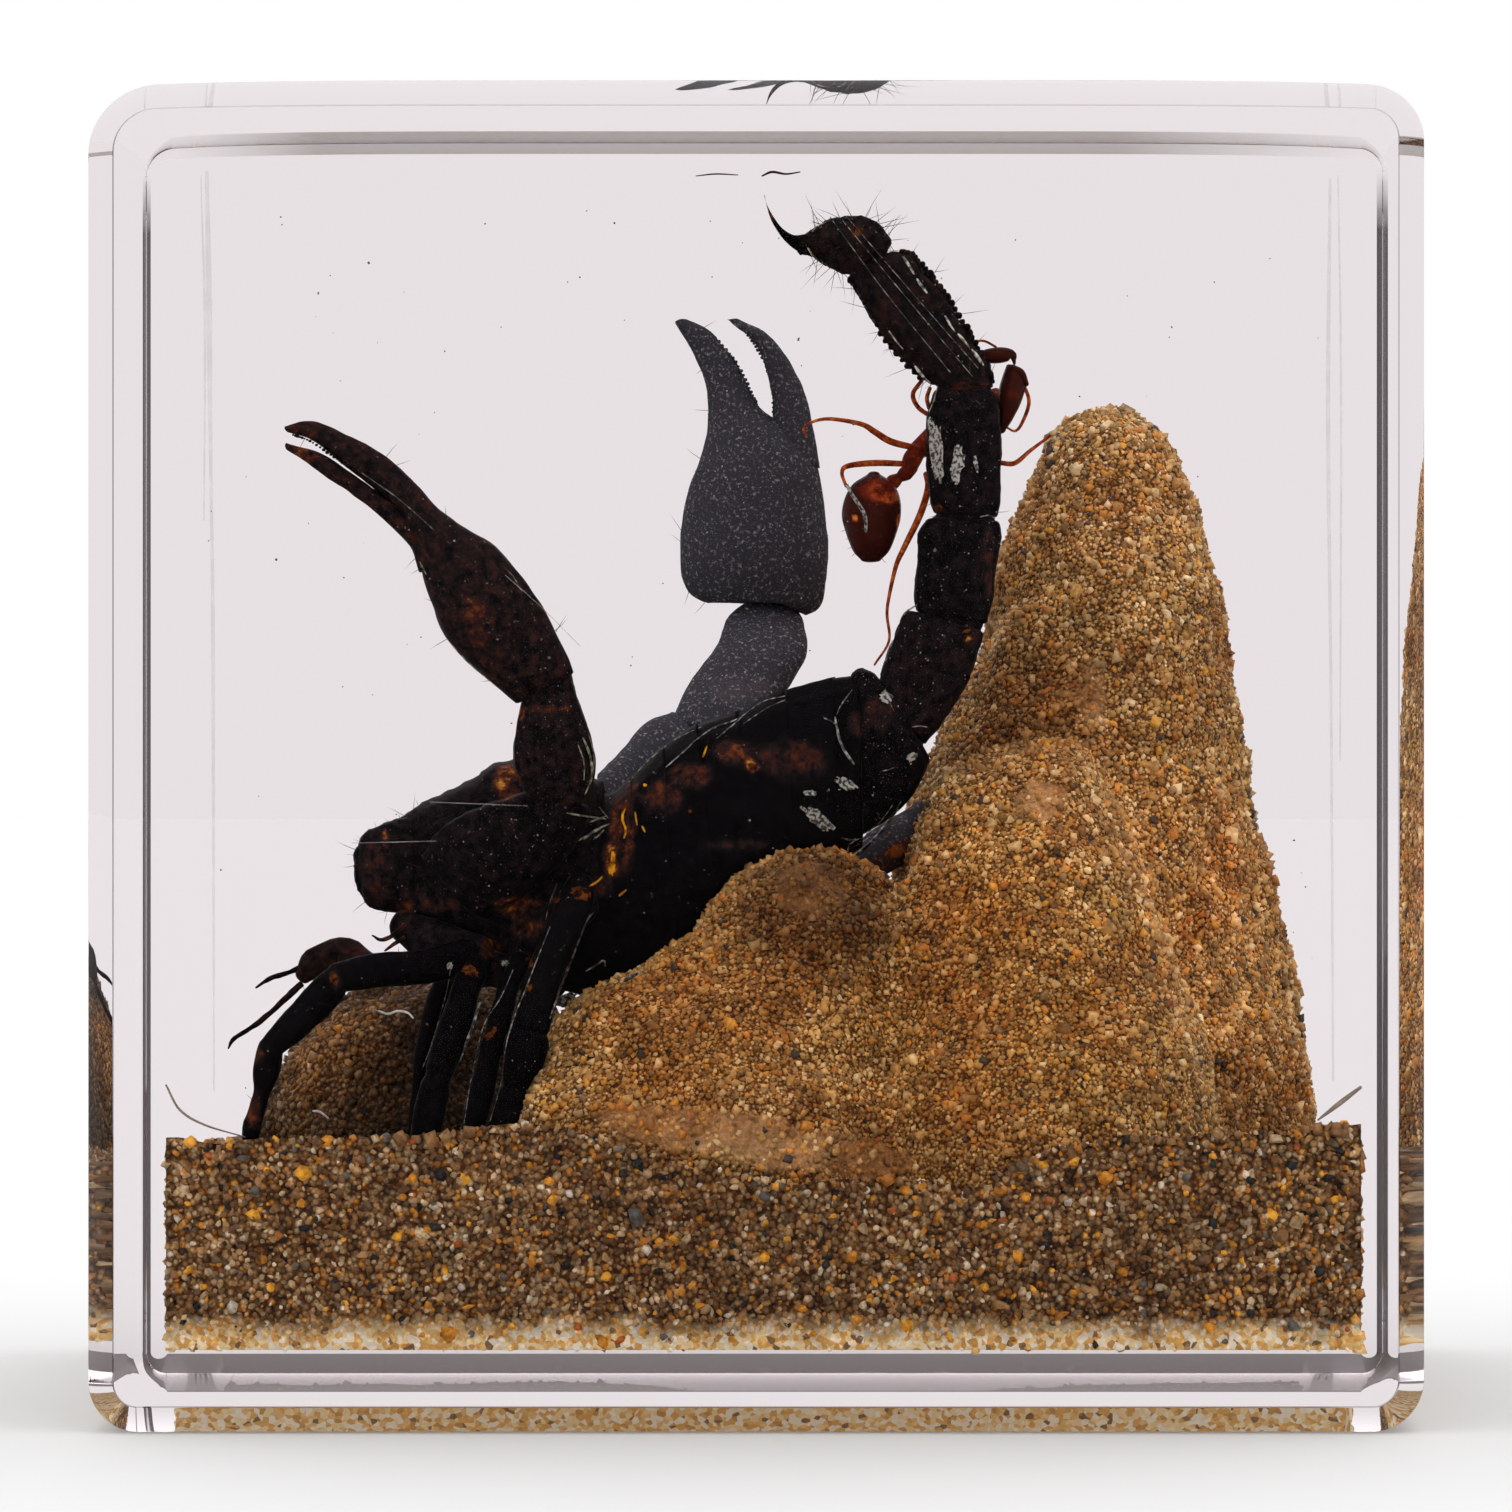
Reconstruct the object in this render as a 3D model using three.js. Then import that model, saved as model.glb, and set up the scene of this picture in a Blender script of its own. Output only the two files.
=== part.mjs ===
// A scorpion cast in a clear resin block.
//
// The block is one solid casting, poured round a bed of sand and the animals that stand in it.
// It was sawn nearly square and polished by hand, so its faces are flat, its edges are softly
// rounded and its corners differ a little. Millimetres, +Z up, the front face towards -Y, and the origin
// in the middle of the flat base.

import * as THREE from "three";

// Driving dimensions.
const BLOCK_WIDTH = 50.7; // along X, at the back
const RIGHT_SIDE_LEAN = 0.7; // how far the right side comes in at the front: sawn off square
const BLOCK_DEPTH = 46; // along Y, front to back
const BLOCK_HEIGHT = 50.6; // along Z
const EDGE_ROUND = 0.9; // polished edge all round the front and the back face

// Corner radii in the front view: the top was polished more than the base.
const TOP_LEFT_RADIUS = 2.9;
const TOP_RIGHT_RADIUS = 2.3;
const BASE_LEFT_RADIUS = 1.9;
const BASE_RIGHT_RADIUS = 2.0;

// Facets of each corner and of each polished edge.
const CORNER_STEPS = 8;
const EDGE_STEPS = 5;

const QUARTER_TURN = Math.PI / 2;

const resinMaterial = new THREE.MeshStandardMaterial({
  color: 0xece4e4,
  roughness: 0.03,
  metalness: 0,
  transparent: true,
  opacity: 0.35,
});

// The block's outline in the front view, counter-clockwise from the base: x to the right, y up.
function blockOutline() {
  const halfWidth = BLOCK_WIDTH / 2;
  const outline = new THREE.Shape();
  outline.moveTo(-halfWidth + BASE_LEFT_RADIUS, 0);
  outline.absarc(
    halfWidth - BASE_RIGHT_RADIUS,
    BASE_RIGHT_RADIUS,
    BASE_RIGHT_RADIUS,
    -QUARTER_TURN,
    0,
    false,
  );
  outline.absarc(
    halfWidth - TOP_RIGHT_RADIUS,
    BLOCK_HEIGHT - TOP_RIGHT_RADIUS,
    TOP_RIGHT_RADIUS,
    0,
    QUARTER_TURN,
    false,
  );
  outline.absarc(
    -halfWidth + TOP_LEFT_RADIUS,
    BLOCK_HEIGHT - TOP_LEFT_RADIUS,
    TOP_LEFT_RADIUS,
    QUARTER_TURN,
    2 * QUARTER_TURN,
    false,
  );
  outline.absarc(
    -halfWidth + BASE_LEFT_RADIUS,
    BASE_LEFT_RADIUS,
    BASE_LEFT_RADIUS,
    2 * QUARTER_TURN,
    3 * QUARTER_TURN,
    false,
  );
  return outline;
}

// The saw ran off square on the right: that side comes in towards the front.
function leanRightSide(position) {
  for (let i = 0; i < position.count; i += 1) {
    if (position.getX(i) > 0) {
      const nearness = position.getZ(i) / BLOCK_DEPTH + 0.5;
      position.setX(i, position.getX(i) - RIGHT_SIDE_LEAN * nearness);
    }
  }
}

// The outline is extruded along the block's depth. The bevel turns inwards from the outline, so
// the sides keep the full width and height, and the two bevels are part of the depth.
function resinBlock() {
  const geometry = new THREE.ExtrudeGeometry(blockOutline(), {
    depth: BLOCK_DEPTH - 2 * EDGE_ROUND,
    curveSegments: CORNER_STEPS,
    bevelEnabled: true,
    bevelThickness: EDGE_ROUND,
    bevelSize: EDGE_ROUND,
    bevelOffset: -EDGE_ROUND,
    bevelSegments: EDGE_STEPS,
  });
  geometry.translate(0, 0, EDGE_ROUND - BLOCK_DEPTH / 2);
  leanRightSide(geometry.attributes.position);
  const mesh = new THREE.Mesh(geometry, resinMaterial);
  mesh.name = "resin_block";
  mesh.rotation.x = QUARTER_TURN;
  return mesh;
}

const scorpionBlock = new THREE.Group();
scorpionBlock.name = "scorpion_in_resin_block";
scorpionBlock.add(resinBlock());

export default scorpionBlock;
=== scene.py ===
# %% [markdown]
# # A scorpion cast in a clear resin block
#
# The object is a paperweight: a block of polished clear resin, about 50 mm wide, poured round a
# dried scorpion, an ant and a little landscape of sand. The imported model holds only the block,
# because the resin closes round everything without a gap. This lesson makes the polished block
# again as a fine mesh, then builds what is sealed in it, from the sand up to the last hair.

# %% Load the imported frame
import math

import bmesh
import bpy
import numpy as np
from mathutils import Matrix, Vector, noise
from mathutils.bvhtree import BVHTree


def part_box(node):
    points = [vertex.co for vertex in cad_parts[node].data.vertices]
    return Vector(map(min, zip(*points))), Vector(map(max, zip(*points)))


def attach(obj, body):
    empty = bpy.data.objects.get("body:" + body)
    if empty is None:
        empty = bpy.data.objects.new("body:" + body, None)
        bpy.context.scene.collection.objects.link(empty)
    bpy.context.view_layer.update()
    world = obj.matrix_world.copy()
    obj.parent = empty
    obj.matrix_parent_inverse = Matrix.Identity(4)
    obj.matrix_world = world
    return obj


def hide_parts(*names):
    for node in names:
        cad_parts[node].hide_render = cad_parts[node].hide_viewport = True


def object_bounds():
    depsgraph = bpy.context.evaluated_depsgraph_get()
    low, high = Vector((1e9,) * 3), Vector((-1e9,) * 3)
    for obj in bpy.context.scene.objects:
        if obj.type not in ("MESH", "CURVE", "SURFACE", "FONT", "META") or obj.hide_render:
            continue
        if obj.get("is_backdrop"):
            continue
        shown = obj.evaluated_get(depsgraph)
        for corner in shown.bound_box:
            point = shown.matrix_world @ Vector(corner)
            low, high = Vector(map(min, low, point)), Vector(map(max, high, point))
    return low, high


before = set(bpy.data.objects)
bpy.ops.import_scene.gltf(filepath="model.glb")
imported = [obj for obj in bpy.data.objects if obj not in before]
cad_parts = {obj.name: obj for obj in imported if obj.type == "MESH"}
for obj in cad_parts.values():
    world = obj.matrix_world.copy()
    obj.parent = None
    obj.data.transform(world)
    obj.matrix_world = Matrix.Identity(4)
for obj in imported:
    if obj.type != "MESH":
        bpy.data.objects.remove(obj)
CAD_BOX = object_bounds()
BLOCK_LOW, BLOCK_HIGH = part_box("resin_block")
print("block, in mm:", [round(1000 * size, 2) for size in BLOCK_HIGH - BLOCK_LOW])

# %% [markdown]
# ## Looking through resin
#
# Things in a clear block look smaller the deeper they lie, and less so than in air, because the
# front face bends the light. A maker who works from a front view needs that rule in one place.
# It could be solved by trial and error, piece by piece. A helper is surer: it takes a spot in a
# square front view and a depth in millimetres behind the front face, and gives the real point.

# %% The front view's rule
MM = 0.001
VIEW_PIXELS = 1512  # along each side of the square front view
VIEW_MIDDLE = VIEW_PIXELS / 2
BLOCK_PIXELS = 1340  # what the front face's width takes of them
RESIN_IOR = 1.5
LENS_DISTANCE = 0.307  # from the lens to the front face
# The right side was sawn a little off square, so it stands further in where it meets the front.
SAW_LEAN = 0.7  # how much further, in mm
BLOCK_LEFT = BLOCK_LOW.x / MM
BLOCK_RIGHT_BACK = BLOCK_HIGH.x / MM
BLOCK_RIGHT_FRONT = BLOCK_RIGHT_BACK - SAW_LEAN
BLOCK_DEPTH = (BLOCK_HIGH.y - BLOCK_LOW.y) / MM
BLOCK_HEIGHT = (BLOCK_HIGH.z - BLOCK_LOW.z) / MM
PIXEL = (BLOCK_RIGHT_FRONT - BLOCK_LEFT) * MM / BLOCK_PIXELS
FRONT_Y = BLOCK_LOW.y
MIDDLE_X = (BLOCK_RIGHT_FRONT + BLOCK_LEFT) / 2 * MM
MIDDLE_Z = (BLOCK_LOW.z + BLOCK_HIGH.z) / 2


def at(right, down, deep):
    """The points behind spots of the front view, in metres; deep is in mm behind the front face."""
    right, down, deep = (np.asarray(v, float) for v in (right, down, deep))
    spread = PIXEL * (1 + deep * MM / (RESIN_IOR * LENS_DISTANCE))
    x = MIDDLE_X + (right - VIEW_MIDDLE) * spread
    z = MIDDLE_Z - (down - VIEW_MIDDLE) * spread
    return np.stack([x, FRONT_Y + deep * MM + 0 * x, z], axis=-1)


def seen_at(points):
    """Where points lie in the front view, and how deep in mm: the rule of `at` turned round."""
    points = np.asarray(points, float)
    deep = (points[:, 1] - FRONT_Y) / MM
    spread = PIXEL * (1 + deep * MM / (RESIN_IOR * LENS_DISTANCE))
    right = VIEW_MIDDLE + (points[:, 0] - MIDDLE_X) / spread
    down = VIEW_MIDDLE - (points[:, 2] - MIDDLE_Z) / spread
    return right, down, deep


print("one view pixel on the front face, in mm:", round(PIXEL / MM, 4))

# %% [markdown]
# ## Shaping tools
#
# Nearly every part of an animal is a closed skin drawn round a line: a claw, a leg, a tail
# segment. Modelling each by hand from a cube would work, but a loft is exact and short. `flow`
# draws a smooth line through a few points. `loft` lays rings along it and closes the ends.

# %% Lines, lofts and meshes
pieces = []


def flow(points, count, span=(0, 1)):
    """count points on a smooth line through the given ones, or on a part of it."""
    given = np.array(points, float)
    last = len(given) - 1
    padded = np.vstack([2 * given[0] - given[1], given, 2 * given[-1] - given[-2]])
    place = np.linspace(span[0] * last, span[1] * last, count)
    step = np.minimum(place.astype(int), last - 1)
    t = (place - step)[:, None]
    a, b, c, d = (padded[step + k] for k in range(4))
    bend = 2 * a - 5 * b + 4 * c - d
    twist = 3 * b - a - 3 * c + d
    return 0.5 * (2 * b + (c - a) * t + bend * t**2 + twist * t**3)


def ring_faces(rings, sides, start=0):
    """Quads between rings of points, and one cap at each end, with their faces outwards."""
    faces = []
    for ring in range(rings - 1):
        for side in range(sides):
            here = start + ring * sides + side
            beside = start + ring * sides + (side + 1) % sides
            faces.append((here, beside, beside + sides, here + sides))
    faces.append(tuple(start + side for side in reversed(range(sides))))
    faces.append(tuple(start + (rings - 1) * sides + side for side in range(sides)))
    return faces


def make_mesh(name, points, faces):
    """A smooth-shaded mesh object with its faces turned outwards."""
    mesh = bpy.data.meshes.new(name)
    mesh.from_pydata([tuple(p) for p in points], [], faces)
    shape = bmesh.new()
    shape.from_mesh(mesh)
    bmesh.ops.recalc_face_normals(shape, faces=shape.faces)
    shape.to_mesh(mesh)
    shape.free()
    mesh.shade_smooth()
    made = bpy.data.objects.new(name, mesh)
    bpy.context.scene.collection.objects.link(made)
    return made


def keep(piece, material):
    """Gives a finished piece its material, and lets it ride on the block."""
    piece.data.materials.clear()
    piece.data.materials.append(material)
    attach(piece, "root")
    pieces.append(piece)
    print(piece.name, len(piece.data.polygons), "faces")
    return piece


# %% [markdown]
# ## Finishes from nodes
#
# Each finish is a small tree of nodes round one Principled shader. A few helpers keep the trees
# readable: `add` makes a node and sets its inputs by name, `wire` joins two sockets, `pattern`
# lays a texture over the object, and `ramp` turns a number into a colour.

# %% Node helpers
def add(tree, kind, **settings):
    """A new node; a setting is an input's name with _ for a space, or an attribute."""
    node = tree.nodes.new("ShaderNode" + kind)
    for name, value in settings.items():
        socket = name.replace("_", " ")
        if socket in node.inputs:
            node.inputs[socket].default_value = value
        else:
            setattr(node, name, value)
    return node


def wire(tree, source, output, target, entry):
    """Joins a node's output to another one's input."""
    tree.links.new(source.outputs[output], target.inputs[entry])


def pattern(tree, place, kind, **settings):
    """A texture that is laid out by the object's own coordinates."""
    node = add(tree, kind, **settings)
    wire(tree, place, "Object", node, "Vector")
    return node


def ramp(tree, source, output, stops, steps="LINEAR"):
    """The colour that a node's output gives on a ramp through (place, colour) stops."""
    node = add(tree, "ValToRGB")
    wire(tree, source, output, node, "Fac")
    band = node.color_ramp
    band.interpolation = steps
    while len(band.elements) < len(stops):
        band.elements.new(0.5)
    for element, (place, colour) in zip(band.elements, stops):
        element.position = place
        element.color = (*colour, 1)
    return node.outputs["Color"]


def multiply(tree, colour, by):
    """Two colours, one as a filter over the other."""
    node = add(tree, "Mix", data_type="RGBA", blend_type="MULTIPLY", Factor=1.0)
    tree.links.new(colour, node.inputs[6])
    tree.links.new(by, node.inputs[7])
    return node.outputs[2]


def blend(tree, factor, low, high):
    """A colour between two, by a varying factor."""
    node = add(tree, "Mix", data_type="RGBA")
    tree.links.new(factor, node.inputs[0])
    tree.links.new(low, node.inputs[6])
    tree.links.new(high, node.inputs[7])
    return node.outputs[2]


def new_finish(name, **settings):
    """A material and its tree and shader, with plain values set on the shader itself."""
    material = bpy.data.materials.new(name)
    material.use_nodes = True
    tree = material.node_tree
    surface = tree.nodes["Principled BSDF"]
    for socket, value in settings.items():
        surface.inputs[socket.replace("_", " ")].default_value = value
    return material, tree, surface


def bump(tree, source, output, surface, strength, distance):
    """Feeds a height into the shader's normal."""
    node = add(tree, "Bump", Strength=strength, Distance=distance)
    wire(tree, source, output, node, "Height")
    wire(tree, node, "Normal", surface, "Normal")


# %% [markdown]
# ## The resin block
#
# The real block is one casting, sawn nearly square and polished. Its long edges were taken off at
# a slant and then softened by the polisher's cloth. Those slants act as lenses, so they decide
# how the rim looks: in front they bend the view inwards onto the sand, and at the back they turn
# it sideways. A bevel modifier gives even edges with coarse normals. Here the outline is swept
# along a profile instead, and each point gets its exact normal.

# %% Corners and edges
CORNER_RADII = (1.9, 2.0, 2.1, 2.6)  # base left, base right, top right, top left, in mm
BACK_CORNER_SHARE = 0.55  # how much smaller the corners are at the back
TOP_DIP = 0.3  # how far the top falls towards its corners, in mm
TOP_FALL = 0.17  # how far it falls towards the back
CORNER_POINTS, STRAIGHT_POINTS = 20, 60
# Each edge turns from the face to the side in three arcs: the turn in degrees that an arc ends
# at, its radius in mm and its number of points.
FRONT_EDGE = ((37, 0.12, 6), (54, 4.6, 14), (90, 0.12, 6))
BACK_EDGES = {
    "right": ((34, 0.1, 5), (38.6, 2.6, 8), (90, 0.03, 7)),
    "left": ((34, 0.1, 5), (38.6, 1.6, 8), (90, 0.03, 7)),
    "top": ((34, 0.1, 5), (38.6, 5.9, 8), (90, 0.03, 7)),
    "base": ((34, 0.1, 5), (38.6, 11.2, 8), (90, 0.03, 7)),
}
# Painted shade: the back edges are painted dark, for the dark bands that they show, and the top one takes a
# painted olive-to-bluish fringe; the tint of each, from the face to the side.
PAINTED_EDGE_SHADES = {
    "right": ((0.012, 0.011, 0.011), (0.014, 0.013, 0.014)),
    "left": ((0.018, 0.017, 0.019), (0.016, 0.015, 0.016)),
    "top": ((0.24, 0.215, 0.16), (0.38, 0.39, 0.42)),
    "base": ((0.085, 0.074, 0.073), (0.012, 0.010, 0.010)),
}
# Towards the top corners the back edges' painted shade fades out: the share of a side that takes.
TOP_CLEARS = (0.12, 0.2)
SIDE_CLEARS = 0.04
# In front only the ridge between the face and the slant gets painted shade.
PAINTED_RIDGE_SHADES = {
    "right": (0.35, 0.33, 0.36),
    "left": (0.12, 0.11, 0.13),
    "top": (0.7, 0.66, 0.6),
    "base": (0.4, 0.37, 0.37),
}


# %% [markdown]
# The outline is a square with rounded corners. Rings of it are laid one behind the other, each
# drawn in by what the edge takes off there. Where two slants meet in a corner they blend into
# each other, as they do under the polisher's cloth.

# %% Rings and skin
def block_outline():
    """Points and outward directions round a unit-free outline, each with its corner's number."""
    corners = [(0, 0), (1, 0), (1, 1), (0, 1)]
    spots = []
    for number, (x, z) in enumerate(corners):
        for turn in np.linspace(0, 1, CORNER_POINTS):
            angle = math.radians(180 + 90 * (number + turn))
            spots.append((x, z, math.cos(angle), math.sin(angle), CORNER_RADII[number]))
        next_x, next_z = corners[(number + 1) % 4]
        next_radius = CORNER_RADII[(number + 1) % 4]
        way = (round(math.cos(angle)), round(math.sin(angle)))
        for share in np.linspace(0, 1, STRAIGHT_POINTS)[1:-1]:
            radius = CORNER_RADII[number] + (next_radius - CORNER_RADII[number]) * share
            middle = (x + (next_x - x) * share, z + (next_z - z) * share)
            spots.append((*middle, *way, radius))
    return np.array(spots)


def edge_profile(arcs):
    """How far in, how deep and how turned an edge is at each of its points, from face to side."""
    out, deep, turns = [0.0], [0.0], [0.0]
    for end, radius, count in arcs:
        for turn in np.radians(np.linspace(math.degrees(turns[-1]), end, count + 1)[1:]):
            middle = (turn + turns[-1]) / 2
            chord = 2 * radius * math.sin((turn - turns[-1]) / 2)
            out.append(out[-1] + chord * math.cos(middle))
            deep.append(deep[-1] + chord * math.sin(middle))
            turns.append(turn)
    return out[-1] - np.array(out), np.array(deep), np.array(turns)


def block_ring(outline, inset, deep, turn, facing):
    """One ring of the block's skin and its normals; inset and turn may differ round the ring."""
    x, z, way_x, way_z, radius = outline.T
    share = deep / BLOCK_DEPTH
    radius = radius * (1 - BACK_CORNER_SHARE * share)
    left, right = BLOCK_LEFT, BLOCK_RIGHT_FRONT + (BLOCK_RIGHT_BACK - BLOCK_RIGHT_FRONT) * share
    # Corner centres stand in by the radius; straight stretches run between them.
    corner_x = np.where(np.abs(way_x) < 1, left + radius + (right - left - 2 * radius) * x, 0)
    corner_x = np.where(np.abs(way_x) == 1, np.where(x > 0.5, right, left) - way_x * radius, corner_x)
    corner_z = np.where(np.abs(way_z) < 1, radius + (BLOCK_HEIGHT - 2 * radius) * z, 0)
    corner_z = np.where(np.abs(way_z) == 1, BLOCK_HEIGHT * (z > 0.5) - way_z * radius, corner_z)
    px = corner_x + way_x * (radius - inset)
    pz = corner_z + way_z * (radius - inset)
    pz = pz - TOP_DIP * (np.abs(px) / BLOCK_LEFT) ** 6 * (pz / BLOCK_HEIGHT) ** 8
    pz = pz - TOP_FALL * share * (pz / BLOCK_HEIGHT) ** 8
    points = np.stack([px * MM, FRONT_Y + deep * MM + 0 * px, BLOCK_LOW.z + pz * MM], axis=-1)
    lean = (BLOCK_RIGHT_FRONT - BLOCK_RIGHT_BACK) / BLOCK_DEPTH * np.maximum(way_x, 0)
    side = np.stack([way_x, lean, way_z], axis=-1)
    face = np.array([0, facing, 0])
    normals = side * np.sin(turn)[:, None] + face * np.cos(turn)[:, None]
    return points, normals / np.linalg.norm(normals, axis=1)[:, None]


def polished_block():
    """The block's skin: rings from the front face's edge to the back face's, its painted edge shade and its
    normals.
    """
    outline = block_outline()
    sides = len(outline)
    along_x, along_z, way_x, way_z = outline[:, :4].T
    # How much each side has to say at a point of the outline; corners are shared by two sides.
    shares = {
        "right": np.where(way_x > 0, way_x, 0) ** 2,
        "left": np.where(way_x < 0, way_x, 0) ** 2,
        "top": np.where(way_z > 0, way_z, 0) ** 2,
        "base": np.where(way_z < 0, way_z, 0) ** 2,
    }
    rings, tints = [], []
    clear = np.ones((sides, 3))
    # Painted shade on the front ridge.
    ridge_shade = sum(np.array(tint) * shares[side][:, None] for side, tint in PAINTED_RIDGE_SHADES.items())
    for step, (inset, deep, turn) in enumerate(zip(*edge_profile(FRONT_EDGE))):
        rings.append(block_ring(outline, inset, deep + 0 * way_x, turn + 0 * way_x, -1))
        on_ridge = 1 < step < FRONT_EDGE[0][2]
        tints.append(ridge_shade if on_ridge else clear)
    # Painted shade on the back edges, fading out towards the top corners.
    from_corner = np.minimum(along_x / TOP_CLEARS[0], (1 - along_x) / TOP_CLEARS[1])
    shaded_share = np.clip(from_corner + (1 - along_z) / SIDE_CLEARS, 0, 1)[:, None]
    profiles = {side: np.array(edge_profile(arcs)) for side, arcs in BACK_EDGES.items()}
    steps = profiles["top"].shape[1]
    for step in reversed(range(steps)):
        inset, deep, turn = sum(profiles[side][:, step, None] * shares[side] for side in shares)
        rings.append(block_ring(outline, inset, BLOCK_DEPTH - deep, turn, 1))
        along = step / (steps - 1)
        tint = sum(
            (np.array(face_tint) * (1 - along) + np.array(side_tint) * along) * shares[side][:, None]
            for side, (face_tint, side_tint) in PAINTED_EDGE_SHADES.items()
        )
        tints.append(clear if step in (0, steps - 1) else 1 - (1 - tint) * shaded_share)
    points = np.concatenate([ring for ring, _ in rings])
    made = make_mesh("resin_block_polished", points, ring_faces(len(rings), sides))
    made.data.normals_split_custom_set_from_vertices(np.concatenate([way for _, way in rings]))
    colours = np.ones((len(points), 4), np.float32)
    colours[:, :3] = np.concatenate(tints)
    attribute = made.data.attributes.new("painted_edge_shade", "FLOAT_COLOR", "POINT")
    attribute.data.foreach_set("color", colours.reshape(-1))
    return made


# %% [markdown]
# Clear resin is a plain dielectric: it bends light with an index of 1.5, and a thick piece takes
# out a little of it, slightly more green than red. So the shader transmits everything, and a
# plain absorbing volume gives the faint pink. Tinting the surface instead would not grow
# stronger with depth.

# %% The resin finish
RESIN_TINT = (0.65, 0.55, 0.586)
RESIN_DENSITY = 14.0
FACE_MIRROR = 0.03  # how much of the resin's mirror image is left where a face is seen square on


def resin_finish():
    """A clear dielectric with painted shade on its edges and a faintly pink inside."""
    material, tree, surface = new_finish(
        "clear_resin", Roughness=0.0, IOR=RESIN_IOR, Transmission_Weight=1.0
    )
    # A polarising filter takes the room's mirror image off the flat faces.
    surface.inputs["Specular Tint"].default_value = (*[FACE_MIRROR] * 3, 1)
    # The edges' painted shade tints the light that passes through them.
    edges = add(tree, "Attribute", attribute_name="painted_edge_shade")
    wire(tree, edges, "Color", surface, "Base Color")
    inside = add(tree, "VolumeAbsorption", Color=(*RESIN_TINT, 1), Density=RESIN_DENSITY)
    wire(tree, inside, "Volume", tree.nodes["Material Output"], "Volume")
    return material


block = keep(polished_block(), resin_finish())
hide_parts("resin_block")

# %% [markdown]
# ## Sand
#
# The landscape has a bed of coarse loose sand, and mounds with a plaster heart and a coat of
# finer sand. A noise texture alone looks like paint, because real grains stand proud and shade
# each other. So each surface gets two layers: a closed base that is coloured like packed sand,
# and tens of thousands of real grains set into it, which are joined into a few meshes.

# %% Scattering tools
def points_of(piece):
    """A mesh's points, in metres."""
    points = np.empty(3 * len(piece.data.vertices))
    piece.data.vertices.foreach_get("co", points)
    return points.reshape(-1, 3)


def triangles_of(piece):
    """The corner points of a mesh's triangles."""
    mesh = piece.data
    mesh.calc_loop_triangles()
    corners = np.empty(3 * len(mesh.loop_triangles), np.int32)
    mesh.loop_triangles.foreach_get("vertices", corners)
    return points_of(piece)[corners.reshape(-1, 3)]


def scatter(piece, tries, spacing, draw, wanted=None):
    """Points on a mesh that keep a distance from each other, and their normals."""
    corners = triangles_of(piece)
    across = np.cross(corners[:, 1] - corners[:, 0], corners[:, 2] - corners[:, 0])
    area = np.linalg.norm(across, axis=1)
    if wanted is not None:
        area = area * wanted(corners.mean(axis=1), across / (area[:, None] + 1e-20))
    picked = draw.choice(len(corners), tries, p=area / area.sum())
    u, v = draw.random(tries), draw.random(tries)
    over = u + v > 1
    u[over], v[over] = 1 - u[over], 1 - v[over]
    a, b, c = (corners[picked, k] for k in range(3))
    spots = a + (b - a) * u[:, None] + (c - a) * v[:, None]
    normals = across[picked] / np.linalg.norm(across[picked], axis=1)[:, None]
    # A spot is kept if its cell of a fine grid and the cells beside it are still free.
    cells = np.floor(spots / spacing).astype(int)
    taken, kept = {}, []
    for number, cell in enumerate(map(tuple, cells)):
        x, y, z = cell
        near = (
            taken.get((x + i, y + j, z + k))
            for i in (-1, 0, 1)
            for j in (-1, 0, 1)
            for k in (-1, 0, 1)
        )
        spot = spots[number]
        if all(other is None or ((spots[other] - spot) ** 2).sum() > spacing**2 for other in near):
            taken[cell] = number
            kept.append(number)
    return spots[kept], normals[kept]


# A grain starts as a squashed cube with cut corners, so that it has flats and edges.
CUBE = np.array([(x, y, z) for x in (-1, 1) for y in (-1, 1) for z in (-1, 1)], float)
CUBE_FACES = np.array(
    [(0, 1, 3), (0, 3, 2), (4, 6, 7), (4, 7, 5), (0, 4, 5), (0, 5, 1), (2, 3, 7), (2, 7, 6),
     (0, 2, 6), (0, 6, 4), (1, 5, 7), (1, 7, 3)]
)
GOLD = (1 + math.sqrt(5)) / 2
BALL = np.array(
    [(-1, GOLD, 0), (1, GOLD, 0), (-1, -GOLD, 0), (1, -GOLD, 0), (0, -1, GOLD), (0, 1, GOLD),
     (0, -1, -GOLD), (0, 1, -GOLD), (GOLD, 0, -1), (GOLD, 0, 1), (-GOLD, 0, -1), (-GOLD, 0, 1)]
) / math.hypot(1, GOLD)
BALL_FACES = np.array(
    [(0, 11, 5), (0, 5, 1), (0, 1, 7), (0, 7, 10), (0, 10, 11), (1, 5, 9), (5, 11, 4),
     (11, 10, 2), (10, 7, 6), (7, 1, 8), (3, 9, 4), (3, 4, 2), (3, 2, 6), (3, 6, 8), (3, 8, 9),
     (4, 9, 5), (2, 4, 11), (6, 2, 10), (8, 6, 7), (9, 8, 1)]
)


def random_turns(count, draw):
    """count random rotation matrices."""
    q = draw.normal(size=(count, 4))
    w, x, y, z = (q / np.linalg.norm(q, axis=1)[:, None]).T
    rows = [
        [1 - 2 * (y * y + z * z), 2 * (x * y - z * w), 2 * (x * z + y * w)],
        [2 * (x * y + z * w), 1 - 2 * (x * x + z * z), 2 * (y * z - x * w)],
        [2 * (x * z - y * w), 2 * (y * z + x * w), 1 - 2 * (x * x + y * y)],
    ]
    return np.moveaxis(np.array(rows), 2, 0)


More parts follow.
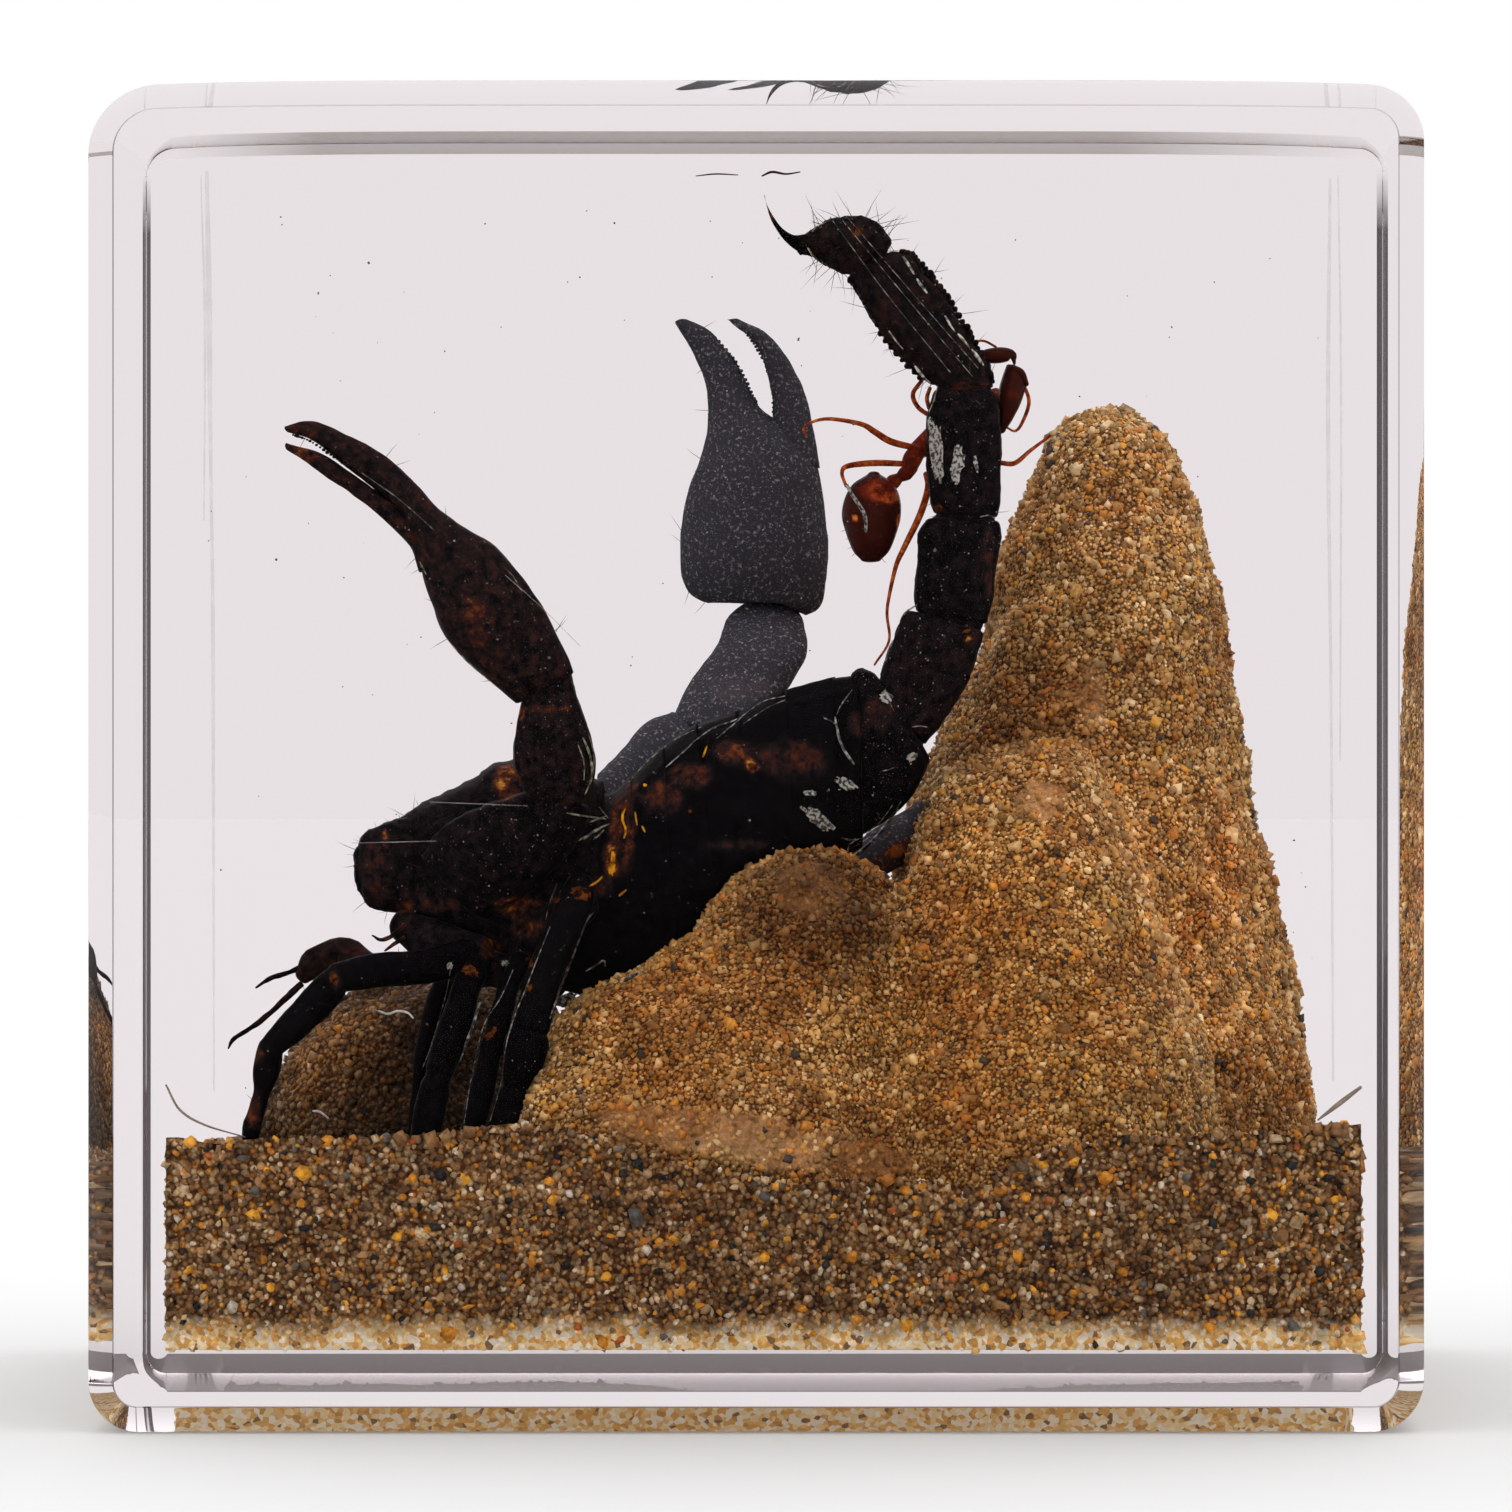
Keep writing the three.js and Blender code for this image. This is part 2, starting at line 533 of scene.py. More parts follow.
def many(name, spots, sizes, draw, shape=BALL, faces=BALL_FACES, uneven=0.25, long=0.35):
    """One mesh of many small stones, each turned, stretched and dented at random."""
    count, corners = len(spots), len(shape)
    stones = np.repeat(shape[None], count, axis=0)
    stones = stones * (1 + uneven * draw.normal(size=(count, corners, 1)).clip(-1.6, 1.6))
    stones = stones * (1 + long * draw.uniform(-1, 1, size=(count, 1, 3)))
    stones = np.einsum("nij,nkj->nki", random_turns(count, draw), stones)
    points = spots[:, None] + stones * sizes[:, None, None]
    index = (np.arange(count)[:, None, None] * corners + faces[None]).reshape(-1)
    mesh = bpy.data.meshes.new(name)
    mesh.vertices.add(count * corners)
    mesh.vertices.foreach_set("co", points.reshape(-1))
    mesh.loops.add(len(index))
    mesh.loops.foreach_set("vertex_index", index.astype(np.int32))
    mesh.polygons.add(len(index) // 3)
    mesh.polygons.foreach_set("loop_start", np.arange(0, len(index), 3, dtype=np.int32))
    mesh.update(calc_edges=True)
    mesh.shade_smooth()
    made = bpy.data.objects.new(name, mesh)
    bpy.context.scene.collection.objects.link(made)
    return made


# %% [markdown]
# ### Sand colours
#
# Sand is a mix of minerals: pale quartz, grey feldspar, ochre and rust iron stains, and a few
# black flecks. Each grain has one colour. A shader can give every separate island of a mesh its
# own random number, which picks a mineral from a ramp with hard steps, and a slow noise shifts
# whole patches towards brown or grey, as damp and dust do.

# %% Minerals
# Each step of a mix: where it starts, out of 1, and its colour.
MINERALS = (
    (0.00, (0.46, 0.285, 0.105)), (0.16, (0.36, 0.205, 0.068)), (0.32, (0.56, 0.38, 0.165)),
    (0.46, (0.235, 0.135, 0.05)), (0.56, (0.44, 0.31, 0.15)), (0.67, (0.68, 0.54, 0.33)),
    (0.78, (0.52, 0.245, 0.055)), (0.86, (0.27, 0.185, 0.095)), (0.92, (0.60, 0.33, 0.06)),
    (0.955, (0.40, 0.17, 0.05)), (0.98, (0.06, 0.05, 0.05)),
)
BED_MINERALS = (
    (0.00, (0.30, 0.175, 0.08)), (0.16, (0.21, 0.115, 0.05)), (0.34, (0.40, 0.26, 0.125)),
    (0.46, (0.15, 0.08, 0.038)), (0.58, (0.36, 0.275, 0.17)), (0.69, (0.56, 0.45, 0.31)),
    (0.78, (0.46, 0.20, 0.035)), (0.85, (0.15, 0.105, 0.065)), (0.93, (0.70, 0.36, 0.05)),
    (0.955, (0.70, 0.66, 0.58)), (0.98, (0.03, 0.03, 0.032)),
)
# The few larger grains of the bed are ochre, quartz, slate and brick.
PEBBLE_MINERALS = (
    (0.00, (0.72, 0.30, 0.03)), (0.30, (0.60, 0.56, 0.50)), (0.46, (0.02, 0.02, 0.022)),
    (0.64, (0.15, 0.145, 0.14)), (0.74, (0.86, 0.42, 0.04)), (0.90, (0.46, 0.12, 0.025)),
)
# Painted light: the lowest sand of the bed is painted cream and gold and given a painted glow, for the
# light that comes up through the base.
LIT_FOOT_HEIGHTS = (3.2, 4.3)  # heights in mm between which the bed's pale golden foot fades out
FOOT_LIGHT = 0.7  # how much of the grains' own colour it hides at the bottom
FOOT_WAVE = 0.0014  # how much its upper edge goes up and down, in metres
PAINTED_FOOT_GLOW = 0.33  # the light that the resin under the bed gathers and gives to it
FOOT_GRAIN = 0.22  # the size of its grains, in mm
# Painted shade in the gaps between packed grains, from a grain's middle outwards.
PAINTED_GAP_SHADES = ((0.25, (1, 1, 1)), (0.62, (0.22, 0.15, 0.10)))  # from a packed grain's middle outwards
# The spots of painted shade and light are full over this share of their reach.
SPOT_HEART = 0.35  # the share of a stain's reach over which it is full
LIT_FOOT_COLOURS = (
    (0.0, (0.80, 0.43, 0.12)), (0.2, (0.98, 0.74, 0.40)), (0.45, (1.0, 0.88, 0.70)),
    (0.7, (0.88, 0.56, 0.22)), (0.86, (0.62, 0.32, 0.09)), (0.95, (0.24, 0.14, 0.07)),
)


# %% [markdown]
# Loose grains and packed sand share most of their trees, so the parts are functions of their own: patches,
# spots of painted shade and light, one colour for each grain, and the painted light at the bed's foot.

# %% The sand finishes
def patchy(tree, place, colour, patches, shade_spots=()):
    """Darkens and warms whole patches: each has a size in mm, a dark tint and a light tint.

    A shade spot holds painted shade or painted light: it has its middle in the front view, its depth and
    reach in mm and its tint, and fades out towards its rim.
    """
    for right, down, deep, reach, spot_tint in shade_spots:
        gap = add(tree, "VectorMath", operation="DISTANCE")
        wire(tree, place, "Object", gap, 0)
        gap.inputs[1].default_value = tuple(at(right, down, deep))
        share = add(tree, "MapRange", From_Min=SPOT_HEART * reach * MM, From_Max=reach * MM)
        wire(tree, gap, "Value", share, "Value")
        shade = ramp(tree, share, "Result", ((0.0, spot_tint), (1.0, (1, 1, 1))), "EASE")
        colour = multiply(tree, colour, shade)
    for size, dark, light in patches:
        cloud = pattern(tree, place, "TexNoise", Scale=1000 / size, Detail=3.0, Roughness=0.6)
        tint = ramp(tree, cloud, "Fac", ((0.36, dark), (0.62, light)))
        colour = multiply(tree, colour, tint)
    return colour


def grain_colours(tree, cells, minerals):
    """One mineral's colour for each cell of a Voronoi texture."""
    draws = add(tree, "SeparateColor")
    wire(tree, cells, "Color", draws, "Color")
    return ramp(tree, draws, "Red", minerals, "CONSTANT")


def painted_lit_foot(tree, place, colour, surface):
    """Paints the lowest sand cream and gold, and makes it glow: painted light for the light that comes up
    through the base.
    """
    parts = add(tree, "SeparateXYZ")
    wire(tree, place, "Object", parts, "Vector")
    cloud = pattern(tree, place, "TexNoise", Scale=700.0, Detail=3.0)
    waved = add(tree, "Math", operation="MULTIPLY_ADD")
    wire(tree, cloud, "Fac", waved, 0)
    waved.inputs[1].default_value = FOOT_WAVE
    wire(tree, parts, "Z", waved, 2)
    low, high = (edge * MM + FOOT_WAVE / 2 for edge in LIT_FOOT_HEIGHTS)
    height = add(tree, "MapRange", From_Min=low, From_Max=high)
    wire(tree, waved, "Value", height, "Value")
    cover = ramp(tree, height, "Result", ((0.0, (FOOT_LIGHT,) * 3), (1.0, (0, 0, 0))))
    cells = pattern(tree, place, "TexVoronoi", Scale=1000 / FOOT_GRAIN)
    gold = grain_colours(tree, cells, LIT_FOOT_COLOURS)
    # Painted glow: the foot's colour is also given out as light.
    tree.links.new(multiply(tree, cover, gold), surface.inputs["Emission Color"])
    surface.inputs["Emission Strength"].default_value = PAINTED_FOOT_GLOW
    return blend(tree, cover, colour, gold)


ROCK_PATCHES = (
    (4.5, (1.22, 0.98, 0.76), (1.5, 1.5, 1.46)), (1.1, (0.70, 0.64, 0.56), (1.25, 1.22, 1.16)),
    (0.22, (0.78, 0.75, 0.7), (1.2, 1.2, 1.17)),
)
# Painted shade and painted light: the rocks are darker where shade falls near the scorpion, as under its
# belly and beside its tail, and paler where light falls on tops and edges.
SHADE_AND_LIGHT_SPOTS = (
    (818, 885, 9.5, 5.5, (0.36, 0.31, 0.25)), (985, 690, 18, 5.0, (0.70, 0.62, 0.55)),
    (690, 1000, 8, 6.0, (0.82, 0.74, 0.66)), (1120, 480, 20, 8.0, (1.25, 1.30, 1.42)),
    (1230, 900, 17, 9.0, (1.34, 1.28, 1.22)), (1000, 1030, 8, 9.0, (0.92, 0.80, 0.60)),
    (700, 980, 8, 8.0, (1.05, 0.93, 0.75)), (1000, 860, 11, 5.0, (1.1, 0.98, 0.80)),
)
# The rear rock is painted darker all over, partly for its browner colour and partly as painted shade under
# the scorpion's head and legs; one spot of painted light brightens its top edge, and one of painted shade
# darkens its foot.
REAR_BROWN_AND_SHADED_PATCHES = ((4.5, (0.25, 0.225, 0.205), (0.43, 0.40, 0.37)), *ROCK_PATCHES[1:])
REAR_SHADE_AND_LIGHT_SPOTS = ((310, 1012, 29, 4.6, (3.0, 2.8, 2.6)), (480, 1085, 28, 8.0, (0.46, 0.42, 0.38)))
BED_PATCHES = (
    (3.5, (0.98, 0.88, 0.76), (1.3, 1.26, 1.2)), (0.9, (0.66, 0.60, 0.54), (1.3, 1.26, 1.2)),
    (0.2, (0.7, 0.66, 0.6), (1.3, 1.28, 1.25)),
)


def grain_finish(name, minerals, patches, foot=False, shade_spots=()):
    """Loose sand: every grain takes one mineral's colour, and is finely pitted."""
    material, tree, surface = new_finish(name, Roughness=0.38, IOR=1.3)
    place = add(tree, "TexCoord")
    kinds = ramp(tree, add(tree, "NewGeometry"), "Random Per Island", minerals, "CONSTANT")
    colour = patchy(tree, place, kinds, patches, shade_spots)
    # The bed's foot gets painted light.
    if foot:
        colour = painted_lit_foot(tree, place, colour, surface)
    tree.links.new(colour, surface.inputs["Base Color"])
    pits = pattern(tree, place, "TexNoise", Scale=9000.0, Detail=2.0)
    bump(tree, pits, "Fac", surface, 0.3, 0.03 * MM)
    return material


def packed_finish(name, minerals, patches, grain, bare=None, foot=False, shade_spots=()):
    """Packed sand seen between the grains; where bare is a colour, smooth plaster shows too."""
    material, tree, surface = new_finish(name, Roughness=0.6, IOR=1.2)
    place = add(tree, "TexCoord")
    cells = pattern(tree, place, "TexVoronoi", Scale=1 / grain)
    # The gaps between packed grains get painted shade.
    gap_shade = ramp(tree, cells, "Distance", PAINTED_GAP_SHADES)
    colour = multiply(tree, grain_colours(tree, cells, minerals), gap_shade)
    if bare is not None:
        mask = add(tree, "Attribute", attribute_name="bare")
        ragged = pattern(tree, place, "TexNoise", Scale=1400.0, Detail=5.0, Roughness=0.65)
        edge = add(tree, "Math", operation="MULTIPLY_ADD")
        wire(tree, mask, "Fac", edge, 0)
        edge.inputs[1].default_value = 1.1
        wire(tree, ragged, "Fac", edge, 2)
        cover = ramp(tree, edge, "Value", ((0.75, (0, 0, 0)), (1.0, (1, 1, 1))))
        plaster = ramp(tree, ragged, "Fac", ((0.3, tuple(0.5 * c for c in bare)), (0.7, bare)))
        colour = blend(tree, cover, colour, plaster)
    colour = patchy(tree, place, colour, patches, shade_spots)
    # The bed's foot gets painted light.
    if foot:
        colour = painted_lit_foot(tree, place, colour, surface)
    tree.links.new(colour, surface.inputs["Base Color"])
    bump(tree, cells, "Distance", surface, 0.7, -0.1 * MM)
    return material


# %% [markdown]
# ### The mounds
#
# The tall rock, the lower one in front of it and the small one under the scorpion's belly were
# pressed from one lump, so their creases are soft. Boxes or spheres would meet in hard lines.
# Each is lofted from rows, which say how far it reaches left and right at a height and how far
# from front to back. The voxel remesh then melts them into one skin, and noise makes it lumpy.

# %% Rows of the mounds
# Each row: down, left, right in the front view, then the middle's depth and half depth in mm.
TALL_ROCK = (
    (411, 1088, 1113, 25, 0.8), (430, 1058, 1149, 25, 2.4), (460, 1040, 1171, 25, 3.6),
    (519, 1016, 1196, 25, 4.8), (588, 994, 1217, 25, 5.8), (675, 970, 1227, 25, 6.8),
    (780, 925, 1247, 25, 7.6), (895, 890, 1269, 25, 8.4), (1000, 880, 1293, 25, 9.2),
    (1115, 870, 1311, 25, 10), (1260, 860, 1321, 25, 10),
)
FRONT_ROCK = (
    (745, 1012, 1062, 16, 0.8), (757, 978, 1086, 16, 2.2), (784, 946, 1112, 16, 3.4),
    (826, 922, 1130, 15.5, 4.4), (872, 908, 1145, 15, 5.2), (936, 893, 1165, 14.5, 6.2),
    (1000, 870, 1190, 14, 7), (1060, 850, 1205, 13, 7.6), (1120, 830, 1215, 12.5, 8),
    (1175, 800, 1225, 12.5, 8.5), (1260, 800, 1225, 12.5, 8.5),
)
BELLY_ROCK = (
    (850, 780, 818, 13.5, 0.8), (858, 764, 852, 13.5, 1.8), (870, 750, 872, 13.5, 2.6),
    (895, 722, 892, 13.5, 3.6), (936, 688, 905, 13, 4.4), (990, 590, 915, 12.5, 5),
    (1030, 543, 920, 12, 5.6), (1080, 520, 925, 11.5, 6.2), (1125, 505, 930, 11, 6.8),
    (1178, 545, 930, 11, 7.2), (1260, 560, 930, 11, 7.2),
)
REAR_ROCK = (
    (982, 395, 500, 33, 0.8), (988, 366, 530, 33, 2), (1006, 336, 552, 33, 3.2), (1041, 300, 572, 33, 4.2),
    (1083, 273, 585, 33, 5), (1124, 258, 600, 33, 5.5), (1200, 250, 610, 33, 6),
)
MOUND_SIDES, MOUND_RINGS = 40, 36


def mound(name, rows):
    """A lump lofted through rows, with ovals that are wide in the view and deep behind it."""
    down, left, right, deep, half = flow(rows, MOUND_RINGS).T
    near, far = at(left, down, deep), at(right, down, deep)
    middle, reach = (near + far) / 2, (far - near) / 2
    back = np.zeros_like(reach)
    back[:, 1] = half * MM
    turns = np.linspace(0, 2 * math.pi, MOUND_SIDES, endpoint=False)
    ring = [middle + reach * math.cos(a) + back * math.sin(a) for a in turns]
    points = np.stack(ring, axis=1).reshape(-1, 3)
    return make_mesh(name, points, ring_faces(MOUND_RINGS, MOUND_SIDES))


def apply_modifiers(piece):
    """Turns the piece's modifiers into plain mesh."""
    bpy.context.view_layer.update()
    seen = piece.evaluated_get(bpy.context.evaluated_depsgraph_get())
    finished = bpy.data.meshes.new_from_object(seen)
    piece.modifiers.clear()
    piece.data = finished


def join_as(name, parts):
    """Several mesh objects as one, without their shared insides being cut yet."""
    points, faces = [], []
    for part in parts:
        first = len(points)
        points += [v.co.copy() for v in part.data.vertices]
        faces += [tuple(first + v for v in p.vertices) for p in part.data.polygons]
        bpy.data.objects.remove(part)
    return make_mesh(name, points, faces)


def melt(piece, voxel, smooth, floor_z):
    """Melts overlapping lumps into one skin, and cuts it off flat at floor_z."""
    remesh = piece.modifiers.new("melt", "REMESH")
    remesh.mode = "VOXEL"
    remesh.voxel_size = voxel
    soften = piece.modifiers.new("soften", "SMOOTH")
    soften.iterations = smooth
    apply_modifiers(piece)
    for vertex in piece.data.vertices:
        vertex.co.z = max(vertex.co.z, floor_z)


def lump(piece, sizes):
    """Moves each point along its normal by layers of noise: (size, height) in mm."""
    mesh = piece.data
    moves = []
    for vertex in mesh.vertices:
        height = 0
        for size, swing in sizes:
            height += swing * MM * noise.noise(vertex.co / (size * MM))
        moves.append(vertex.normal * height)
    for vertex, move in zip(mesh.vertices, moves):
        vertex.co += move
    mesh.shade_smooth()


# %% [markdown]
# ### The bed
#
# The bed was poured into a mould that was a little smaller than the block, so it stands in from
# the block's sides like a slab: flat in front and below, rounded at the mould's corners, with an
# uneven top that climbs where it meets the front. A grid is wrapped round that slab.

# %% The bed's slab
BED_SIDES = (166, 1361)  # its left and right end in the front view
BED_FRONT, BED_BACK = 2.7, 43.2  # depths in mm
BED_FLOOR_DOWN = 1350
# Its top front line in the front view, as (right, down).
BED_RIM = (
    (160, 1139), (300, 1138), (430, 1136), (520, 1124), (600, 1132), (720, 1176), (850, 1182), (972, 1184),
    (1014, 1162), (1069, 1148), (1179, 1135), (1312, 1130), (1365, 1122),
)
BED_LOW = at(BED_SIDES[0], BED_FLOOR_DOWN, BED_FRONT)
BED_HIGH = at(BED_SIDES[1], BED_FLOOR_DOWN, BED_FRONT)
BED_DROP = 1.3  # how far the top lies below the rim, away from the front, in mm
BED_LIP = 2.2  # how far behind the front it has dropped, in mm
BED_WAVES = (1.8, 0.35)  # the size and height of the top's waves, in mm
BED_GRID = 0.5 * MM
BED_LAYERS = 16


def bed_top(x, y):
    """How high the bed reaches at a place, in metres."""
    rim = np.array(BED_RIM, float)
    line = at(rim[:, 0], rim[:, 1], BED_FRONT)
    height = np.interp(x, line[:, 0], line[:, 2])
    behind = (y - BED_LOW[1]) / (BED_LIP * MM)
    dip = BED_DROP * MM * np.clip(behind, 0, 1) ** 0.7
    return height - dip


def sand_bed():
    """The slab: a grid on top, walls in layers round it, and a flat underside."""
    wide = BED_HIGH[0] - BED_LOW[0]
    deep = (BED_BACK - BED_FRONT) * MM
    columns, rows = round(wide / BED_GRID), round(deep / BED_GRID)
    points, faces = [], []
    xs = BED_LOW[0] + wide * np.linspace(0, 1, columns + 1)
    ys = BED_LOW[1] + deep * np.linspace(0, 1, rows + 1)
    wave_size, wave_height = BED_WAVES
    for x in xs:
        for y in ys:
            wave = wave_height * MM * noise.noise(Vector((x, y, 0)) / (wave_size * MM))
            points.append((x, y, float(bed_top(x, y)) + wave))
    for i in range(columns):
        for j in range(rows):
            a = i * (rows + 1) + j
            faces.append((a, a + rows + 1, a + rows + 2, a + 1))
    top = len(points)
    edge = [i * (rows + 1) for i in range(columns + 1)]
    edge += [columns * (rows + 1) + j for j in range(1, rows + 1)]
    edge += [i * (rows + 1) + rows for i in range(columns - 1, -1, -1)]
    edge += [j for j in range(rows - 1, 0, -1)]
    around = len(edge)
    above = edge
    for layer in range(1, BED_LAYERS + 1):
        for spot in edge:
            x, y, z = points[spot]
            points.append((x, y, z + (BED_LOW[2] - z) * layer / BED_LAYERS))
        below = [top + (layer - 1) * around + k for k in range(around)]
        for k in range(around):
            beside = (k + 1) % around
            faces.append((above[k], below[k], below[beside], above[beside]))
        above = below
    faces.append(tuple(reversed(below)))
    return make_mesh("sand_bed", points, faces)


bed = sand_bed()
rocks = join_as("sand_rocks", [mound("rock", rows) for rows in (TALL_ROCK, FRONT_ROCK, BELLY_ROCK)])
rear_rock = mound("rear_sand_rock", REAR_ROCK)
ROCK_FOOT = BED_LOW[2] + 1.0 * MM
ROCK_LUMPS = ((3.2, 0.55), (1.3, 0.22), (0.55, 0.07))  # sizes and heights of the lumps, in mm
for rock in (rocks, rear_rock):
    melt(rock, 0.4 * MM, 6, ROCK_FOOT)
    lump(rock, ROCK_LUMPS)

# %% [markdown]
# ### Bare plaster
#
# In a few places the glue held no sand, and the smooth pinkish plaster shows. A list of soft
# spots marks them: grains keep away from a spot, and the base takes the plaster's colour there.

# %% Bare spots and the bases' finishes
# Each spot: right, down, half width and half height in the front view, and how bare it is.
BARE_SPOTS = (
    (705, 1130, 84, 18, 0.9), (800, 1150, 84, 18, 0.9), (868, 1163, 46, 14, 0.9), (640, 1118, 46, 12, 0.8),
    (812, 890, 36, 26, 0.8), (1042, 800, 28, 22, 0.55), (1092, 700, 18, 40, 0.45),
)
BARE_DEPTH = 26  # in mm; further back the coat is whole
PLASTER = (0.47, 0.28, 0.145)


def soft_spots(points, spots, base=0.0):
    """A number for each point: base, or more near spots of (right, down, half, half, value)."""
    right, down, _ = seen_at(points)
    value = np.full(len(right), float(base))
    for x, y, half_x, half_y, strength in spots:
        far = ((right - x) / half_x) ** 2 + ((down - y) / half_y) ** 2
        value = np.maximum(value, strength * np.clip(1.5 - far, 0, 1))
    return value


def bareness(points):
    """1 where the plaster shows and 0 where sand holds."""
    return soft_spots(points, BARE_SPOTS) * (seen_at(points)[2] < BARE_DEPTH)


def mark(piece, name, values):
    """Gives each of a piece's points a number that its finish can read."""
    attribute = piece.data.attributes.new(name, "FLOAT", "POINT")
    attribute.data.foreach_set("value", values.astype(np.float32))


for rock in (rocks, rear_rock):
    mark(rock, "bare", bareness(points_of(rock)))
rock_base = packed_finish(
    "sand_between_grains", MINERALS, ROCK_PATCHES, 0.13 * MM, PLASTER, shade_spots=SHADE_AND_LIGHT_SPOTS
)
keep(rocks, rock_base)
rear_brown_shaded_base = packed_finish(
    "rear_sand_between_grains_brown_and_shaded", MINERALS, REAR_BROWN_AND_SHADED_PATCHES, 0.16 * MM, PLASTER, shade_spots=REAR_SHADE_AND_LIGHT_SPOTS
)
keep(rear_rock, rear_brown_shaded_base)
bed_base = packed_finish("packed_bed_sand", BED_MINERALS, BED_PATCHES, 0.24 * MM, foot=True)
keep(bed, bed_base)

# %% [markdown]
# ### The grains
#
# The rocks carry fine sand, and the bed coarse sand with a few pebbles. Grains that face the
# front get rounder shapes, and the hidden ones simpler ones, which keeps the count in hand.

# %% Setting the grains
draw = np.random.default_rng(7)
GRAIN_SPREAD = 0.28  # how much the grains of one coat differ in size
COAT_FOOT = 5.5 * MM  # how high above the bed's underside the rocks' coats begin


def set_grains(name, piece, finish, slot, tries, spacing, size, sink, wanted=None, **shape):
    """One coat of grains on a piece; spacing and size are in mm, and sink is a share of size."""
    spots, normals = scatter(piece, tries, spacing * MM, draw, wanted)
    sizes = size * MM * np.exp(draw.normal(0, GRAIN_SPREAD, len(spots)))
    spots = spots - normals * (sink * sizes)[:, None]
    return keep(many(name, spots, sizes, draw, **shape), finish)


def sandy(middles, normals):
    """Where grains hold on the rocks: few on the bare spots, and none below the bed's top."""
    return (1 - 0.8 * bareness(middles)) * (middles[:, 2] > BED_LOW[2] + COAT_FOOT)


EDGE_MARGIN = 0.22 * MM  # how far the front grains keep from the bed's straight edges


def in_front(middles, normals):
    """The bed's front face, without a margin."""
    inside = (middles[:, 2] > BED_LOW[2] + EDGE_MARGIN) & (middles[:, 0] > BED_LOW[0] + EDGE_MARGIN)
    inside &= middles[:, 0] < BED_HIGH[0] - EDGE_MARGIN
    return ((normals[:, 1] < -0.5) & inside).astype(float)


def not_in_front(middles, normals):
    """The bed's top, sides and back."""
    return ((normals[:, 1] >= -0.5) & (normals[:, 2] > -0.5)).astype(float)


# Hidden grains are simpler: keyword settings for `many`.
SIMPLE = {"shape": CUBE * 0.62, "faces": CUBE_FACES, "uneven": 0.2}
rock_sand = grain_finish("fine_sand_grains", MINERALS, ROCK_PATCHES, shade_spots=SHADE_AND_LIGHT_SPOTS)
rear_brown_shaded_sand = grain_finish("rear_sand_grains_brown_and_shaded", MINERALS, REAR_BROWN_AND_SHADED_PATCHES, shade_spots=REAR_SHADE_AND_LIGHT_SPOTS)
bed_sand = grain_finish("coarse_sand_grains", BED_MINERALS, BED_PATCHES, foot=True)
pebbles = grain_finish("bed_pebbles", PEBBLE_MINERALS, BED_PATCHES[1:])
ROCK_WAIST = BED_LOW[2] + 16 * MM  # the height that parts the rocks' lower coat from the upper one


def low_front(middles, normals):
    """The lower half of what the front view shows of the rocks."""
    return sandy(middles, normals) * (normals[:, 1] < 0.1) * (middles[:, 2] < ROCK_WAIST)


def high_front(middles, normals):
    """The upper half of it."""
    return sandy(middles, normals) * (normals[:, 1] < 0.1) * (middles[:, 2] >= ROCK_WAIST)


def behind(middles, normals):
    """The back of the rocks."""
    return sandy(middles, normals) * (normals[:, 1] >= 0.1)


# Each coat: name, what it lies on, finish, slot, tries, spacing, size, how deep a grain sits, where.
COATS = (
    ("rock_sand_low", rocks, rock_sand, "mound", 36000, 0.20, 0.128, 0.1, low_front),
    ("rock_sand_high", rocks, rock_sand, "mound", 26000, 0.20, 0.128, 0.1, high_front),
    ("rock_sand_behind", rocks, rock_sand, "mound", 28000, 0.25, 0.14, 0.1, behind),
    ("rear_rock_sand", rear_rock, rear_brown_shaded_sand, "mound", 14000, 0.27, 0.14, 0.1, sandy),
    ("bed_sand_top_and_back", bed, bed_sand, "sand", 60000, 0.36, 0.17, 0.4, not_in_front),
)
for coat in COATS:
    set_grains(*coat, **SIMPLE)
set_grains("bed_front_sand", bed, bed_sand, "sand", 46000, 0.20, 0.115, 0.4, in_front)
set_grains("bed_front_pebbles", bed, pebbles, "sand", 520, 0.7, 0.19, 0.35, in_front)

# %% [markdown]
# ## Skins and limbs
#
# Seen from the side, each segment of a scorpion has two outlines, and a thickness that a side
# view doesn't show. `skin` lofts a closed oval skin between the two outlines, `limb` lofts a
# round one along a line. Both round their ends, and both can carry keels, the long ridges that
# stiffen a real tail. Sculpting would do it too, but rows of spots stay easy to correct.

# %% Lofts between outlines
CAP_TURNS = np.radians([20, 45, 66, 82])


def loft(name, middle, reach, back, cap, sides, squareness, keels=()):
    """Ovals round a line, with rounded ends that stand out by cap, in metres."""
    before = (middle[0] - middle[1]) / np.linalg.norm(middle[0] - middle[1])
    after = (middle[-1] - middle[-2]) / np.linalg.norm(middle[-1] - middle[-2])
    first = [(middle[0] + before * cap * math.sin(a), math.cos(a)) for a in CAP_TURNS[::-1]]
    last = [(middle[-1] + after * cap * math.sin(a), math.cos(a)) for a in CAP_TURNS]
    middles = np.array([m for m, _ in first] + list(middle) + [m for m, _ in last])
    reaches, backs = (
        np.array([rows[0] * s for _, s in first] + list(rows) + [rows[-1] * s for _, s in last])
        for rows in (reach, back)
    )
    turns = np.linspace(0, 2 * math.pi, sides, endpoint=False)
    c, s = np.cos(turns), np.sin(turns)
    c, s = (np.sign(v) * np.abs(v) ** (2 / squareness) for v in (c, s))
    ridge = np.ones(sides)
    for angle, height, width in keels:
        off = (np.degrees(turns) - angle + 180) % 360 - 180
        ridge += height * np.exp(-((off / width) ** 2))
    points = middles[:, None] + reaches[:, None] * (c * ridge)[:, None]
    points = points + backs[:, None] * (s * ridge)[:, None]
    return make_mesh(name, points.reshape(-1, 3), ring_faces(len(middles), sides))


